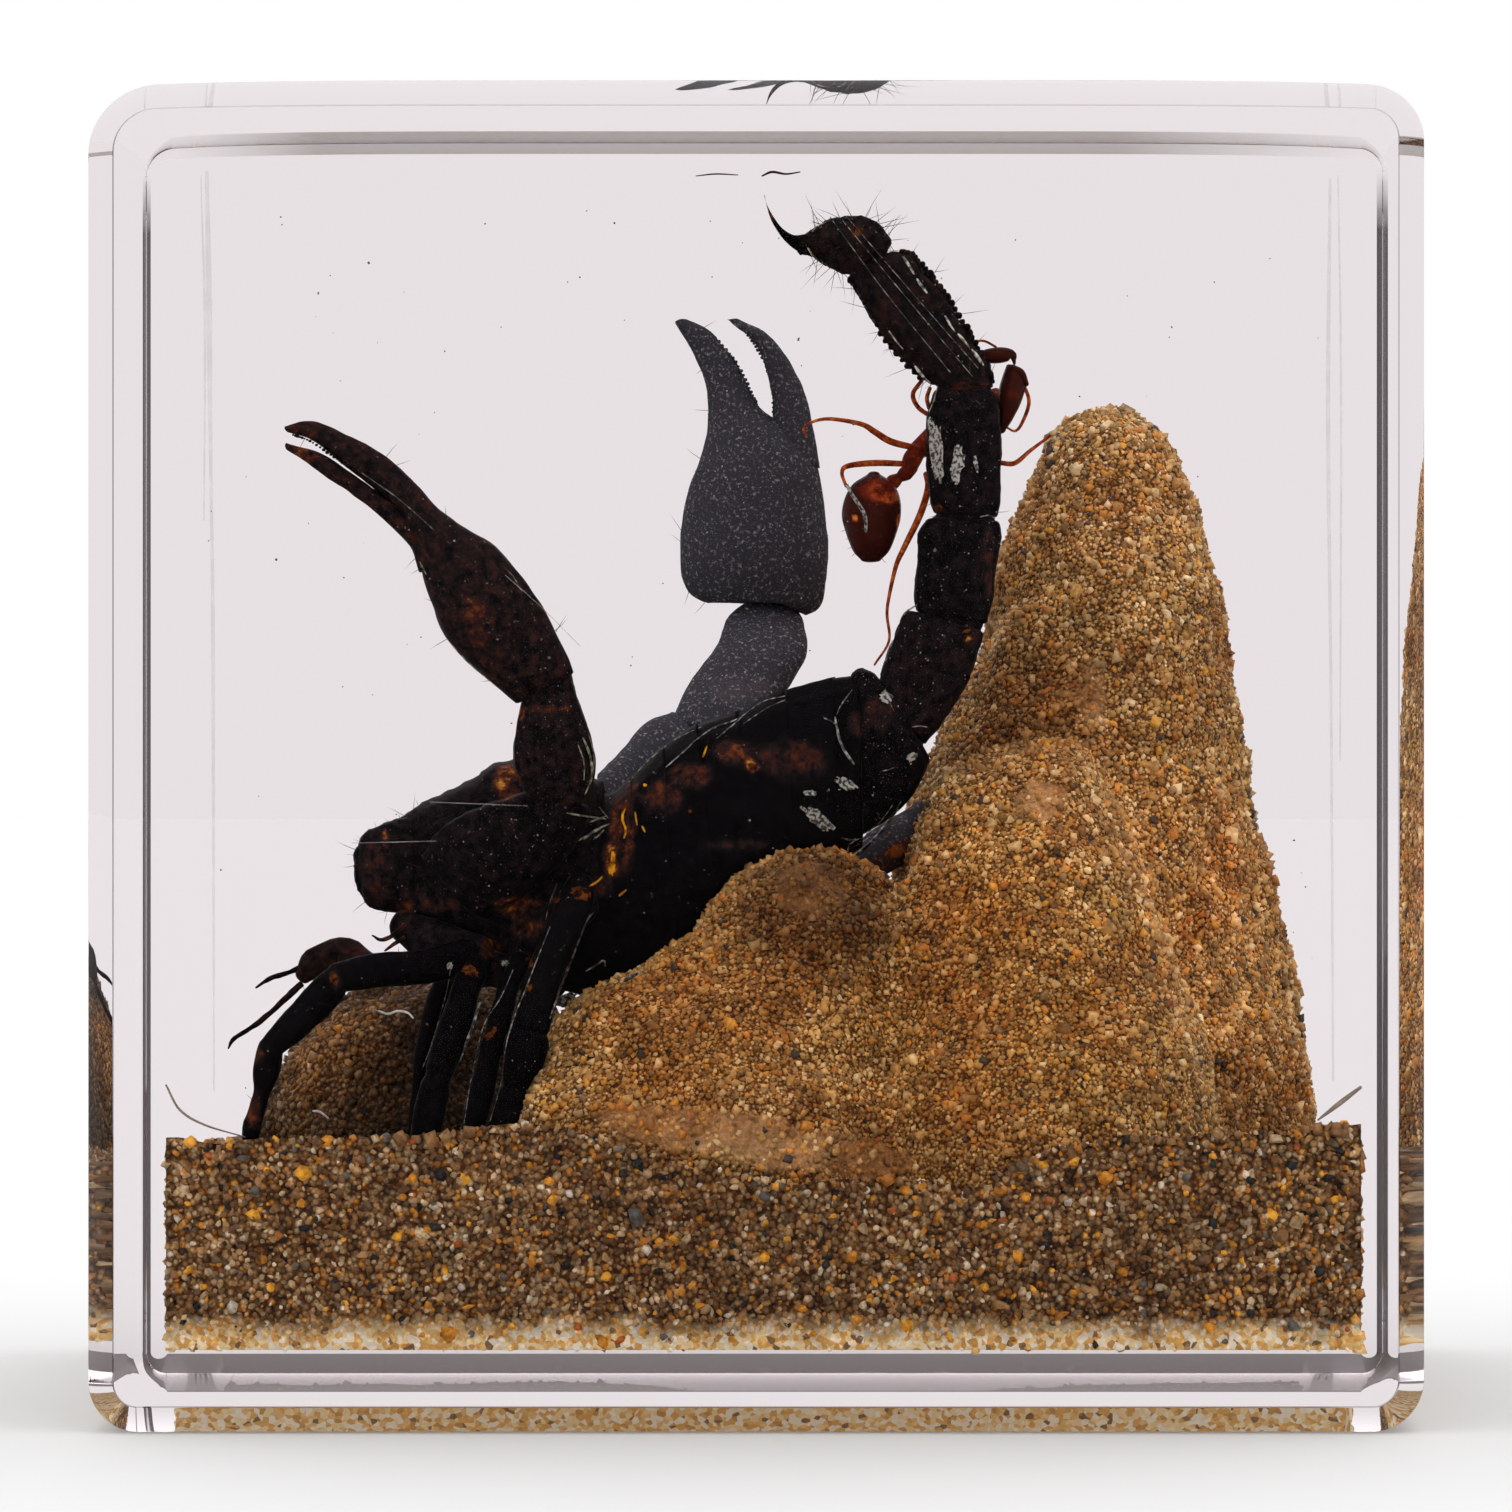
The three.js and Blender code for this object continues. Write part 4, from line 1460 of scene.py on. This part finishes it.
ANT_LIMBS = (
    ((921, 449, 17.6, 3.2), (892, 442, 17.2, 3.6), (875, 432, 17, 3.4), (861, 424, 16.8, 2.6),
     (832, 419, 16.4, 2.0), (815, 421, 16.2, 1.6), (804, 428, 16, 1.3), (806, 436, 16, 1.2)),
    ((908, 464, 17.6, 3), (875, 463, 17, 3.4), (848, 466, 16.4, 2.8), (842, 473, 16.2, 2.0),
     (846, 486, 16, 1.6)),
    ((926, 474, 17.6, 3), (928, 488, 17, 3.4), (920, 515, 16.6, 3.6), (904, 548, 16.4, 3.0),
     (896, 566, 16.3, 2.4), (889, 597, 16.2, 1.8), (887, 615, 16.2, 1.6), (889, 641, 16.2, 1.4),
     (875, 664, 16.2, 1.2)),
    ((1001, 463, 17, 2.6), (1015, 463, 17, 2.6), (1031, 450, 17, 2.0), (1050, 436, 17, 1.4)),
    ((922, 380, 17, 2), (913, 394, 17, 2.4), (918, 407, 17, 2.4), (930, 416, 17, 2.4)),
    ((930, 388, 17, 2), (927, 398, 17, 2.2), (929, 408, 17, 2.2)),
    ((1023, 383, 16.8, 1.8), (1029, 402, 16.8, 2), (1022, 423, 16.8, 1.8), (1015, 431, 16.8, 1.4),
     (1006, 427, 16.8, 1)), ((973, 342, 16.4, 1.3), (984, 341, 16.4, 1.3), (996, 347, 16.4, 1.3)),
)
ANT_FOOT = (
    (847, 485, 15.9, 1.6), (851, 493, 15.9, 1.8), (859, 505, 15.9, 2), (865, 516, 15.9, 2),
    (866, 531, 15.9, 1.4),
)
SMOOTH = ((0.4, 0.01),)
# Each piece: name, parts, unevenness and how thin its cuticle is.
jaws = [limb("jaw", rows, 16, 10) for rows in ANT_JAWS]
for name, parts, grain, thinness in (
    ("ant_gaster", [skin("gaster", GASTER, 44, 56, 2.0, 0.1)], SMOOTH, 0.24),
    ("ant_trunk_and_waist", [limb("bit", rows, 14, 16) for rows in ANT_BITS], SMOOTH, 0.5),
    ("ant_head", [skin("head", ANT_HEAD, 20, 24, 2.0, 0.15), *jaws], SMOOTH, 0.2),
    ("ant_legs", [limb("leg", rows, 40, 8) for rows in ANT_LIMBS], (), 0.68),
):
    grow(name, parts, ant_cuticle, grain, thinness, "ant_cuticle")

# %% [markdown]
# ### Hairs
#
# Fine red-brown bristles stand on the tail's bulb, the last segment and the head. They are much
# too thin for a hair system to pay off. Each is a three-sided spike that grows from a random spot
# of a piece, mostly outwards, and all of a piece's bristles are one mesh.

# %% Bristles
BRISTLE_GAP = 0.12 * MM  # the least distance between two roots
BRISTLE_THICK = 0.014  # in mm
BRISTLE_LEAN = 0.45  # how far they stray from standing straight up
BRISTLE_TURNS = (0, 2.1, 4.2)  # the three corners of one, in radians


def bristles(name, piece, count, length, wanted=None):
    """Spikes of about a length in mm on random spots of a piece, where wanted allows."""
    spots, normals = scatter(piece, count * 4, BRISTLE_GAP, draw, wanted)
    spots, normals = spots[:count], normals[:count]
    way = normals + BRISTLE_LEAN * draw.normal(size=spots.shape)
    way /= np.linalg.norm(way, axis=1)[:, None]
    reach = length * MM * draw.uniform(0.5, 1.2, len(spots))[:, None]
    side = np.cross(way, draw.normal(size=spots.shape))
    side /= np.linalg.norm(side, axis=1)[:, None]
    other = np.cross(way, side)
    bend = side * reach * draw.uniform(-0.15, 0.15, len(spots))[:, None]
    points, faces = [], []
    for k in range(len(spots)):
        first = len(points)
        for along, width in ((-0.08, 1.0), (0.5, 0.75)):
            middle = spots[k] + way[k] * reach[k] * along + bend[k] * along * along
            for turn in BRISTLE_TURNS:
                rim = side[k] * math.cos(turn) + other[k] * math.sin(turn)
                points.append(middle + rim * BRISTLE_THICK * MM * width)
        points.append(spots[k] + way[k] * reach[k] + bend[k])
        for j in range(3):
            n = (j + 1) % 3
            faces.append((first + j, first + n, first + 3 + n, first + 3 + j))
            faces.append((first + 3 + j, first + 3 + n, first + 6))
        faces.append((first, first + 2, first + 1))
    made = make_mesh(name, points, faces)
    mark(made, "thin", np.full(len(points), 0.55))
    return keep(made, black_cuticle)


SHIELD_RIM = 420  # left of this in the front view, the shield is bristly


def at_its_rim(middles, normals):
    """The front rim of the head shield."""
    return (seen_at(middles)[0] < SHIELD_RIM).astype(float)


# Each row: what they grow on, how many, how long in mm, and where.
BRISTLES = (
    ("scorpion_tail_bulb", 66, 1.35, None), ("scorpion_tail_5", 44, 1.2, None),
    ("scorpion_jaws", 60, 0.95, None), ("scorpion_head_shield", 44, 0.7, at_its_rim),
    ("scorpion_near_hand", 26, 0.8, None), ("scorpion_far_hand", 22, 0.8, None),
    ("scorpion_tail_4", 8, 0.8, None), ("scorpion_near_leg_1", 24, 0.45, None),
    ("ant_gaster", 16, 0.35, None),
)
for name, count, length, wanted in BRISTLES:
    bristles(name + "_bristles", bpy.data.objects[name], count, length, wanted)

# %% [markdown]
# ### Air films, dust and fibres
#
# Where the resin let go of the cuticle, a film of air shines silver along a seam or in a crumbly patch.
# That shine is painted: the films are pale strips and patches that stand for their glint. Such films lie on
# the skin, so each spot of a line is dropped straight back from the front face until it meets the animal.
# Dust and pinhead bubbles are specks strewn over it, and a few fibres drifted in before the resin set.

# %% Lines and patches that lie on the animals
def surface_tree(group):
    """What a ray needs to find the nearest skin of a group of pieces."""
    points, faces = [], []
    for piece in group:
        first = len(points)
        points += [v.co.copy() for v in piece.data.vertices]
        faces += [tuple(first + v for v in p.vertices) for p in piece.data.polygons]
    return BVHTree.FromPolygons(points, faces)


animal_tree = surface_tree(body_parts + [rocks])
OPEN_DEPTH = 16.5  # used where nothing lies behind a spot, in mm


def depth_on_animal(right, down):
    """How deep the animals' nearest surface lies behind a spot of the view, in mm."""
    start = Vector(at(right, down, 0))
    way = (Vector(at(right, down, 40)) - start).normalized()
    hit = animal_tree.ray_cast(start, way)[0]
    return None if hit is None else (hit.y - FRONT_Y) / MM


LINE_SHARE = 0.8  # how wide a film line shows, as a share of the width given


def film_line(path, width, lift=0.02):
    """A thin line that follows the skin; width is in view pixels, and lift in mm."""
    count = max(6, int(sum(math.dist(a, b) for a, b in zip(path, path[1:])) / 6))
    spots = flow(path, count)
    deep = [depth_on_animal(*spot) for spot in spots]
    known = [d for d in deep if d is not None] or [OPEN_DEPTH]
    deep = [float(np.median(known)) if d is None else d for d in deep]
    smooth = np.convolve(np.pad(deep, 1, mode="edge"), [0.25, 0.5, 0.25], "valid")
    near = np.minimum(smooth, deep) - lift
    ends = np.sin(np.linspace(0.25, math.pi - 0.25, count)) ** 0.5
    wobble = 1 + 0.35 * np.sin(np.arange(count) * 2.3) * np.cos(np.arange(count) * 0.9)
    rows = np.column_stack([spots, near, width / 2 * ends * wobble])
    rows[:, 3] *= LINE_SHARE
    return limb("film", rows, count, 6)


LEAF_SPOKES = 24
LEAF_LIFT = 0.03  # how far a film lies in front of the skin, in mm


def film_leaf(right, down, long, wide, turn=0, ragged=0.24):
    """A thin oval film on the skin, with its half length and half width in view pixels."""
    spots = [(right, down)]
    c, s = math.cos(math.radians(turn)), math.sin(math.radians(turn))
    for share in (0.35, 0.7, 1.0):
        for spoke in range(LEAF_SPOKES):
            reach = share * (1 + ragged * draw.uniform(-1, 1) * (share == 1.0))
            x = long * reach * math.cos(2 * math.pi * spoke / LEAF_SPOKES)
            y = wide * reach * math.sin(2 * math.pi * spoke / LEAF_SPOKES)
            spots.append((right + x * c - y * s, down + x * s + y * c))
    deep = [depth_on_animal(*spot) for spot in spots]
    middle = float(np.median([d for d in deep if d is not None] or [OPEN_DEPTH]))
    deep = np.array([middle if d is None else min(d, middle + 0.4) for d in deep]) - LEAF_LIFT
    faces = [(0, 1 + k, 1 + (k + 1) % LEAF_SPOKES) for k in range(LEAF_SPOKES)]
    for ring in (0, 1):
        first = 1 + ring * LEAF_SPOKES
        for k in range(LEAF_SPOKES):
            here, beside = first + k, first + (k + 1) % LEAF_SPOKES
            faces.append((here, here + LEAF_SPOKES, beside + LEAF_SPOKES, beside))
    xs, ys = np.array(spots).T
    return make_mesh("leaf", at(xs, ys, deep), faces)


# %% [markdown]
# Seams of film run along the edges of the back plates, the joints and the legs. Crumbly leaves of it lie on
# the tail and the flank. Most are painted silver, some greenish or cream, as painted glints of the air in
# them, and amber ones are thin membrane. Painted on as a texture, they would stay flat; as meshes that
# stand on the skin they keep its relief, though their shine is painted into their pale colour.

# %% Where the films lie
# Each line: its spots in the front view, and its width in view pixels.
SILVER_LINES = (
    (((629, 782), (642, 767), (655, 755), (676, 739), (701, 727)), 1.8),
    (((666, 767), (680, 755), (700, 737), (718, 726), (738, 719), (762, 702), (785, 696)), 2.2),
    (((717, 738), (733, 725), (742, 717)), 2.0), (((743, 724), (767, 708), (785, 700)), 1.2),
    (((852, 690), (841, 705), (837, 714)), 1.5),
    (((835, 717), (838, 734), (842, 746), (848, 756), (854, 764)), 3.8),
    (((824, 718), (831, 721), (835, 724)), 1.2), (((893, 641), (888, 655), (881, 675)), 5.0),
    (((890, 703), (894, 711)), 1.2), (((882, 771), (888, 770), (893, 768)), 1.6),
    (((912, 727), (920, 726), (927, 727)), 1.0), (((900, 622), (906, 612), (917, 605)), 3.0),
    (((853, 857), (873, 840), (886, 825), (898, 809)), 4.4), (((848, 850), (862, 842), (876, 833)), 1.6),
    (((849, 854), (848, 846), (856, 840), (862, 838)), 1.4), (((884, 826), (894, 812), (901, 802)), 2.6),
    (((866, 834), (880, 822), (892, 806)), 1.2), (((842, 838), (850, 840), (856, 839)), 2.2),
    (((362, 473), (400, 500), (434, 530)), 1.4), (((504, 567), (514, 578), (522, 592)), 1.8),
    (((980, 517), (988, 515), (995, 518)), 2.2), (((594, 912), (586, 921), (581, 936)), 3.0),
    (((580, 938), (571, 961), (557, 997), (550, 1018)), 3.2), (((557, 884), (550, 902), (546, 919)), 1.6),
    (((550, 927), (538, 957), (526, 988), (514, 1018), (506, 1046), (501, 1083), (490, 1121)), 1.6),
    (((513, 970), (501, 997), (484, 1025), (475, 1061), (468, 1098), (464, 1124)), 1.3),
    (((480, 1003), (472, 1028), (465, 1046), (460, 1061)), 4.2),
    (((451, 966), (446, 994), (432, 1043), (423, 1067)), 1.2),
    (((586, 971), (596, 965), (604, 960), (605, 966)), 2.4),
    (((620, 983), (631, 977), (643, 971)), 4.6, 1.6), (((838, 215), (900, 290), (972, 376)), 0.5),
    (((846, 216), (915, 296), (978, 368)), 0.6), (((830, 217), (885, 292), (950, 372)), 0.4),
)
GREEN_LINES = (
    (((449, 641), (466, 660), (496, 686)), 2.6), (((583, 738), (590, 756), (592, 775), (585, 795)), 3.6),
    (((578, 745), (584, 762), (584, 780)), 1.8), (((588, 733), (594, 755), (593, 772)), 1.4),
    (((806, 245), (814, 257), (826, 266)), 2.6), (((812, 232), (818, 226), (826, 222)), 2.2),
    (((567, 813), (584, 816), (606, 819)), 2.4), (((584, 839), (596, 830), (609, 824)), 3.0),
    (((575, 842), (587, 836), (600, 829)), 2.4), (((596, 838), (604, 830)), 2.0),
    (((590, 822), (607, 816)), 2.2), (((599, 807), (608, 818)), 1.8), (((420, 562), (426, 574)), 2.4),
)
CREAM_LINES = (
    (((903, 257), (909, 266), (914, 274)), 4.4), (((917, 279), (922, 287), (927, 293)), 4.0),
    (((945, 316), (950, 325), (955, 332)), 3.4), (((958, 334), (964, 341), (969, 347)), 4.2),
    (((972, 350), (978, 358), (983, 365)), 5.2), (((915, 366), (922, 375), (930, 383)), 4.4),
    (((889, 331), (896, 341), (903, 349)), 1.8), (((937, 388), (934, 400), (929, 412)), 1.6),
)
AMBER_LINES = (
    (((625, 809), (622, 818), (626, 830), (624, 838)), 3.4), (((635, 812), (637, 825)), 2.2),
    (((642, 826), (645, 832)), 2.4), (((590, 886), (597, 882), (602, 877)), 3.2),
    (((619, 896), (626, 890)), 3.0), (((703, 757), (707, 746)), 2.6),
)
# Each leaf: right, down, half length, half width and its turn in degrees.
SILVER_LEAVES = (
    (937, 451, 31, 6.5, 86), (957, 465, 19, 6.5, 100), (976, 464, 8, 2.2, 80), (930, 424, 7, 3, 90),
    (846, 784, 11.5, 5, 25), (818, 819, 18, 7, 38), (810, 793, 6.5, 3, 5), (886, 697, 6.8, 5.8, 60),
    (912, 757, 6, 4, -30), (505, 963, 4, 3, 0), (450, 966, 3, 4, 0), (566, 1000, 12, 7, -20),
)
# Where two plates meet, a thin amber window of membrane is left.
AMBER_LEAVES = (
    (612, 869, 6, 3.6, 92), (613, 857, 6, 2.4, 95), (645, 785, 2, 1.5, 0),
)
JOINT_LEAVES = (
    (581, 893, 11.5, 6, 18), (556, 900, 4.5, 2.6, 0), (470, 971, 9, 5, 28), (529, 962, 5.5, 4, 70),
    (491, 1033, 8, 3.6, -48), (529, 989, 5, 3, -60), (937, 508, 5, 2.6, -10), (967, 631, 4.6, 1.6, -15),
    (334, 978, 7, 4, 80), (752, 767, 5, 3.2, 60), (690, 811, 2.2, 1.6, 60),
)


# %% [markdown]
# A film's painted glint isn't evenly bright, because the air in it is broken into specks. One finish, two
# colours with a noise between them, serves for all the films, each with its own colours and grain.

# %% The films
def flecked(name, low, high, span=(0.3, 0.7), size=0.4, **settings):
    """A finish that changes from speck to speck between two colours; size is in mm."""
    material, tree, surface = new_finish(name, **settings)
    streaks = pattern(tree, add(tree, "TexCoord"), "TexNoise", Scale=1000 / size, Detail=4.0)
    colour = ramp(tree, streaks, "Fac", ((span[0], low), (span[1], high)))
    tree.links.new(colour, surface.inputs["Base Color"])
    return material


SPECK_TONES = (
    (0.0, (0.03, 0.028, 0.03)), (0.7, (0.12, 0.11, 0.11)), (0.92, (0.35, 0.33, 0.32)),
    (1.0, (0.95, 0.94, 0.92)),
)


def speck_finish():
    """Dust: every speck has its own brightness, and most are faint."""
    material, tree, surface = new_finish("pale_specks", Roughness=0.5)
    tone = ramp(tree, add(tree, "NewGeometry"), "Random Per Island", SPECK_TONES)
    tree.links.new(tone, surface.inputs["Base Color"])
    return material


# Painted glints: the silver, green and cream films are pale colours that stand for the light the air films
# reflect.
silver = flecked(
    "air_film_painted_silver_glint", (0.012, 0.011, 0.011), (0.66, 0.65, 0.59), (0.46, 0.68), 0.22, Roughness=0.4
)
silver_leaf = flecked(
    "crumbled_air_film_painted_glint", (0.02, 0.018, 0.016), (0.50, 0.49, 0.43), (0.43, 0.56), 0.13, Roughness=0.6
)
green_film = flecked(
    "air_film_painted_green_glint", (0.03, 0.03, 0.014), (0.62, 0.64, 0.40), (0.42, 0.66), 0.22, Roughness=0.4
)
cream_film = flecked(
    "air_film_painted_cream_glint", (0.08, 0.075, 0.05), (0.86, 0.86, 0.74), (0.38, 0.58), 0.2, Roughness=0.4
)
amber_film = flecked(
    "amber_membrane", (0.42, 0.13, 0.004), (1.0, 0.46, 0.012), (0.4, 0.6), 0.3,
    Roughness=0.35, IOR=1.12,
)
joint_film = flecked(
    "joint_membrane", (0.012, 0.005, 0.003), (0.20, 0.055, 0.010), (0.42, 0.68), 0.22,
    Roughness=0.5, IOR=1.04,
)
FILMS = (
    ("air_film_cream_glint_seams", film_line, CREAM_LINES, cream_film),
    ("air_film_silver_glint_seams", film_line, SILVER_LINES, silver),
    ("air_film_green_glint_seams", film_line, GREEN_LINES, green_film),
    ("amber_membranes", film_line, AMBER_LINES, amber_film),
    ("air_film_glint_leaves", film_leaf, SILVER_LEAVES, silver_leaf),
    ("amber_windows", film_leaf, AMBER_LEAVES, amber_film),
    ("joint_membranes", film_leaf, JOINT_LEAVES, joint_film),
)
for name, shape, rows, finish in FILMS:
    keep(join_as(name, [shape(*row) for row in rows]), finish)
# The ant's foot carries a painted glint of an air film.
silvered_foot = join_as("ant_foot_silver_glint", [limb("foot", ANT_FOOT, 24, 8)])
keep(silvered_foot, silver_leaf)

# %% [markdown]
# ### Small things in the resin
#
# Dust fell on the animals before the last pour, and small bubbles hang before them like pinheads.
# Resin is poured in layers, so the first casting's edges still show faintly at the back, and the
# resin climbs a little where the bed meets the front. Specks are cubes with cut corners, each so
# small that its shape doesn't matter. Everything long and thin is a limb of its own.

# %% Dust, bubbles, fibres and pour edges
pale_speck = speck_finish()
white_film = flecked("white_fibre", (0.45, 0.44, 0.44), (0.85, 0.84, 0.82), Roughness=0.4)
# Each row: what it lies on, how many specks, and their size in view pixels.
DUST = (
    ("scorpion_far_hand", 2600, 0.5), ("scorpion_far_wrist", 1000, 0.5), ("scorpion_near_hand", 240, 0.5),
    ("scorpion_trunk_rings", 260, 0.43), ("scorpion_head_shield", 300, 0.42), ("scorpion_tail_3", 200, 0.5),
    ("scorpion_tail_4", 200, 0.5), ("scorpion_tail_2", 200, 0.5), ("scorpion_tail_1", 200, 0.5),
    ("scorpion_tail_5", 160, 0.5), ("scorpion_far_finger", 420, 0.5),
    ("scorpion_near_upper_arm", 220, 0.48), ("scorpion_near_wrist", 150, 0.5),
    ("scorpion_near_finger", 60, 0.45), ("scorpion_jaws", 70, 0.42), ("scorpion_near_leg_4", 60, 0.5),
    ("scorpion_near_leg_1", 50, 0.45), ("scorpion_tail_bulb", 60, 0.45), ("ant_gaster", 60, 0.45),
)


def faces_front(middles, normals):
    """More dust where a skin faces the front."""
    return np.clip(-normals[:, 1], 0, 1)


DUST_GAP = 0.05 * MM  # the least distance between two specks
dust = []
for name, count, size in DUST:
    spots, _ = scatter(bpy.data.objects[name], count * 2, DUST_GAP, draw, faces_front)
    spots = spots[:count]
    sizes = size * PIXEL * np.exp(draw.normal(0, 0.35, len(spots)))
    dust.append(many("dust", spots, sizes, draw, CUBE * 0.6, CUBE_FACES, 0.3, 0.6))
keep(join_as("dust_on_scorpion", dust), pale_speck)
BUBBLES = 150
BUBBLE_SPACE = ((200, 1320), (200, 1100), (3, 14))  # right, down and deep, from and to
BUBBLE_SIZE = 0.75  # in view pixels
loose = [draw.uniform(low, high, BUBBLES) for low, high in BUBBLE_SPACE]
loose_sizes = BUBBLE_SIZE * PIXEL * np.exp(draw.normal(0, 0.3, BUBBLES))
keep(many("pinhead_bubbles", at(*loose), loose_sizes, draw), pale_speck)
FIBRES = (
    ((379, 1011, 6, 0.9), (388, 1014, 6, 1.2), (398, 1011, 6, 1.2), (408, 1013, 6, 1.1),
     (413, 1018, 6, 0.8)), ((313, 1111, 6, 0.9), (320, 1112, 6, 1.2), (328, 1118, 6, 0.9)),
)
fibres = join_as("white_fibres", [limb("fibre", rows, 20, 6) for rows in FIBRES])
keep(fibres, white_film)
POUR_EDGES = (
    ((207, 172, 42.5, 2.0), (209, 300, 42.5, 3.3), (211, 480, 42.5, 1.8), (213, 640, 42.5, 2.1),
     (214, 1090, 42.5, 0.9)), ((201, 176, 42.5, 0.8), (205, 330, 42.5, 1.5), (204, 520, 42.5, 0.7)),
    ((1330, 180, 42.5, 1.6), (1328, 420, 42.5, 2.4), (1331, 700, 42.5, 1.6), (1333, 1080, 42.5, 1.3)),
    ((1338, 176, 42.5, 0.9), (1341, 400, 42.5, 1.4), (1340, 760, 42.5, 0.9)),
)
HAIRLINES = (
    ((352, 843, 0.3, 0.4), (400, 842, 0.3, 0.5), (436, 841, 0.3, 0.4)),
    ((430, 802, 0.3, 0.4), (480, 804, 0.3, 0.5), (528, 806, 0.3, 0.4)),
    ((505, 575, 0.3, 0.4), (540, 606, 0.3, 0.5), (580, 646, 0.3, 0.4)),
)
# The meniscus is drawn as a dark brown strip: painted shadow where the resin climbs at the bed's front
# corners.
MENISCUS = (
    ((166, 1085, 3.2, 0.9), (180, 1110, 3.4, 1.3), (205, 1125, 3.6, 1.1), (245, 1137, 3.8, 0.6)),
    ((1318, 1120, 3.6, 1.0), (1340, 1103, 3.4, 2.6), (1361, 1087, 3.2, 1.6)),
)
pour_film = flecked(
    "pour_seam", (0.25, 0.23, 0.23), (1.0, 0.98, 0.98), (0.4, 0.6), 0.8, Roughness=0.6, Alpha=0.10
)
hair_film = flecked("hairline", (0.3, 0.29, 0.29), (0.8, 0.78, 0.78), Roughness=0.6, Alpha=0.3)
shore_film = flecked("meniscus_shadow", (0.2, 0.13, 0.08), (0.42, 0.3, 0.19), Roughness=0.6, Alpha=0.7)
for name, seams, finish in (
    ("inner_pour_edges", POUR_EDGES, pour_film),
    ("polish_hairlines", HAIRLINES, hair_film),
    ("resin_meniscus_painted_shadow", MENISCUS, shore_film),
):
    keep(join_as(name, [limb("seam", rows, 40, 6) for rows in seams]), finish)
TWIGS = (
    ((762, 176, 8, 0.8), (772, 172, 8, 1.3), (786, 174, 8, 1.0), (800, 172, 8, 0.6)),
    ((696, 176, 8, 0.5), (716, 174, 8, 0.8), (738, 175, 8, 0.5)),
)
twigs = join_as("brown_twig_slivers", [limb("twig", rows, 20, 6) for rows in TWIGS])
mark(twigs, "thin", np.full(len(twigs.data.vertices), 0.5))
keep(twigs, black_cuticle)

# %% [markdown]
# ## The camera and the studio
#
# The camera stands square to the front face, far enough away for the rear edges to look a tenth smaller.
# The studio is plain: a pale floor, and a soft white sky that is brighter above. Clear things need
# something dark to show their edges. Here the shade painted on the slants at the back does that, so no dark
# cards have to stand round the block, and it looks right from every side.

# %% Camera, floor and sky
SENSOR_WIDTH = 36
camera = bpy.data.objects.new("camera", bpy.data.cameras.new("camera"))
bpy.context.scene.collection.objects.link(camera)
camera.location = (MIDDLE_X, FRONT_Y - LENS_DISTANCE, MIDDLE_Z)
camera.rotation_euler = (math.radians(90), 0, 0)
camera.data.sensor_width = SENSOR_WIDTH
camera.data.lens = SENSOR_WIDTH * LENS_DISTANCE / (VIEW_PIXELS * PIXEL)
camera.data.clip_start = 0.01
bpy.context.scene.camera = camera
print("lens, in mm:", round(camera.data.lens, 1))

FLOOR_HALF = 3.0  # half of its side, in metres
FLOOR_GAP = 0.02 * MM  # the film of air that the block stands on
FLOOR_GREY = 0.563
floor_paint, _, _ = new_finish("pale_floor", Roughness=0.8, Base_Color=(*[FLOOR_GREY] * 3, 1))
floor_mesh = bpy.data.meshes.new("floor")
floor_corners = ((-1, -1), (1, -1), (1, 1), (-1, 1))
floor_points = [(x * FLOOR_HALF, y * FLOOR_HALF, -FLOOR_GAP) for x, y in floor_corners]
floor_mesh.from_pydata(floor_points, [], [(0, 1, 2, 3)])
floor_mesh.materials.append(floor_paint)
floor = bpy.data.objects.new("floor", floor_mesh)
bpy.context.scene.collection.objects.link(floor)
floor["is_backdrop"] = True


def soft_sky():
    """Plain white light from all round, and more of it from above."""
    world = bpy.data.worlds.new("soft_sky")
    bpy.context.scene.world = world
    world.use_nodes = True
    tree = world.node_tree
    place = add(tree, "TexCoord")
    parts = add(tree, "SeparateXYZ")
    wire(tree, place, "Generated", parts, "Vector")
    sky = ramp(tree, parts, "Z", ((0.0, (1.0,) * 3), (0.3, (1.0,) * 3), (1.0, (2.4,) * 3)))
    tree.links.new(sky, tree.nodes["Background"].inputs["Color"])


soft_sky()
look = bpy.context.scene.view_settings
look.view_transform = "Standard"
look.look = "None"
# Clear resin with things in it needs more bounces than usual, or its depths turn black.
bounces = bpy.context.scene.cycles
bounces.max_bounces = 24
bounces.transmission_bounces = 24
bounces.diffuse_bounces = 4
bounces.glossy_bounces = 8
bounces.transparent_max_bounces = 16

# %% [markdown]
# ## Finish
#
# The last step prints the sizes of the imported block and of everything built in it.

# %% Sizes and the end
new_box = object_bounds()
sizes = {
    "cad": [[float(v) for v in corner] for corner in CAD_BOX],
    "visual": [[float(v) for v in corner] for corner in new_box],
}
print("sizes:", sizes)
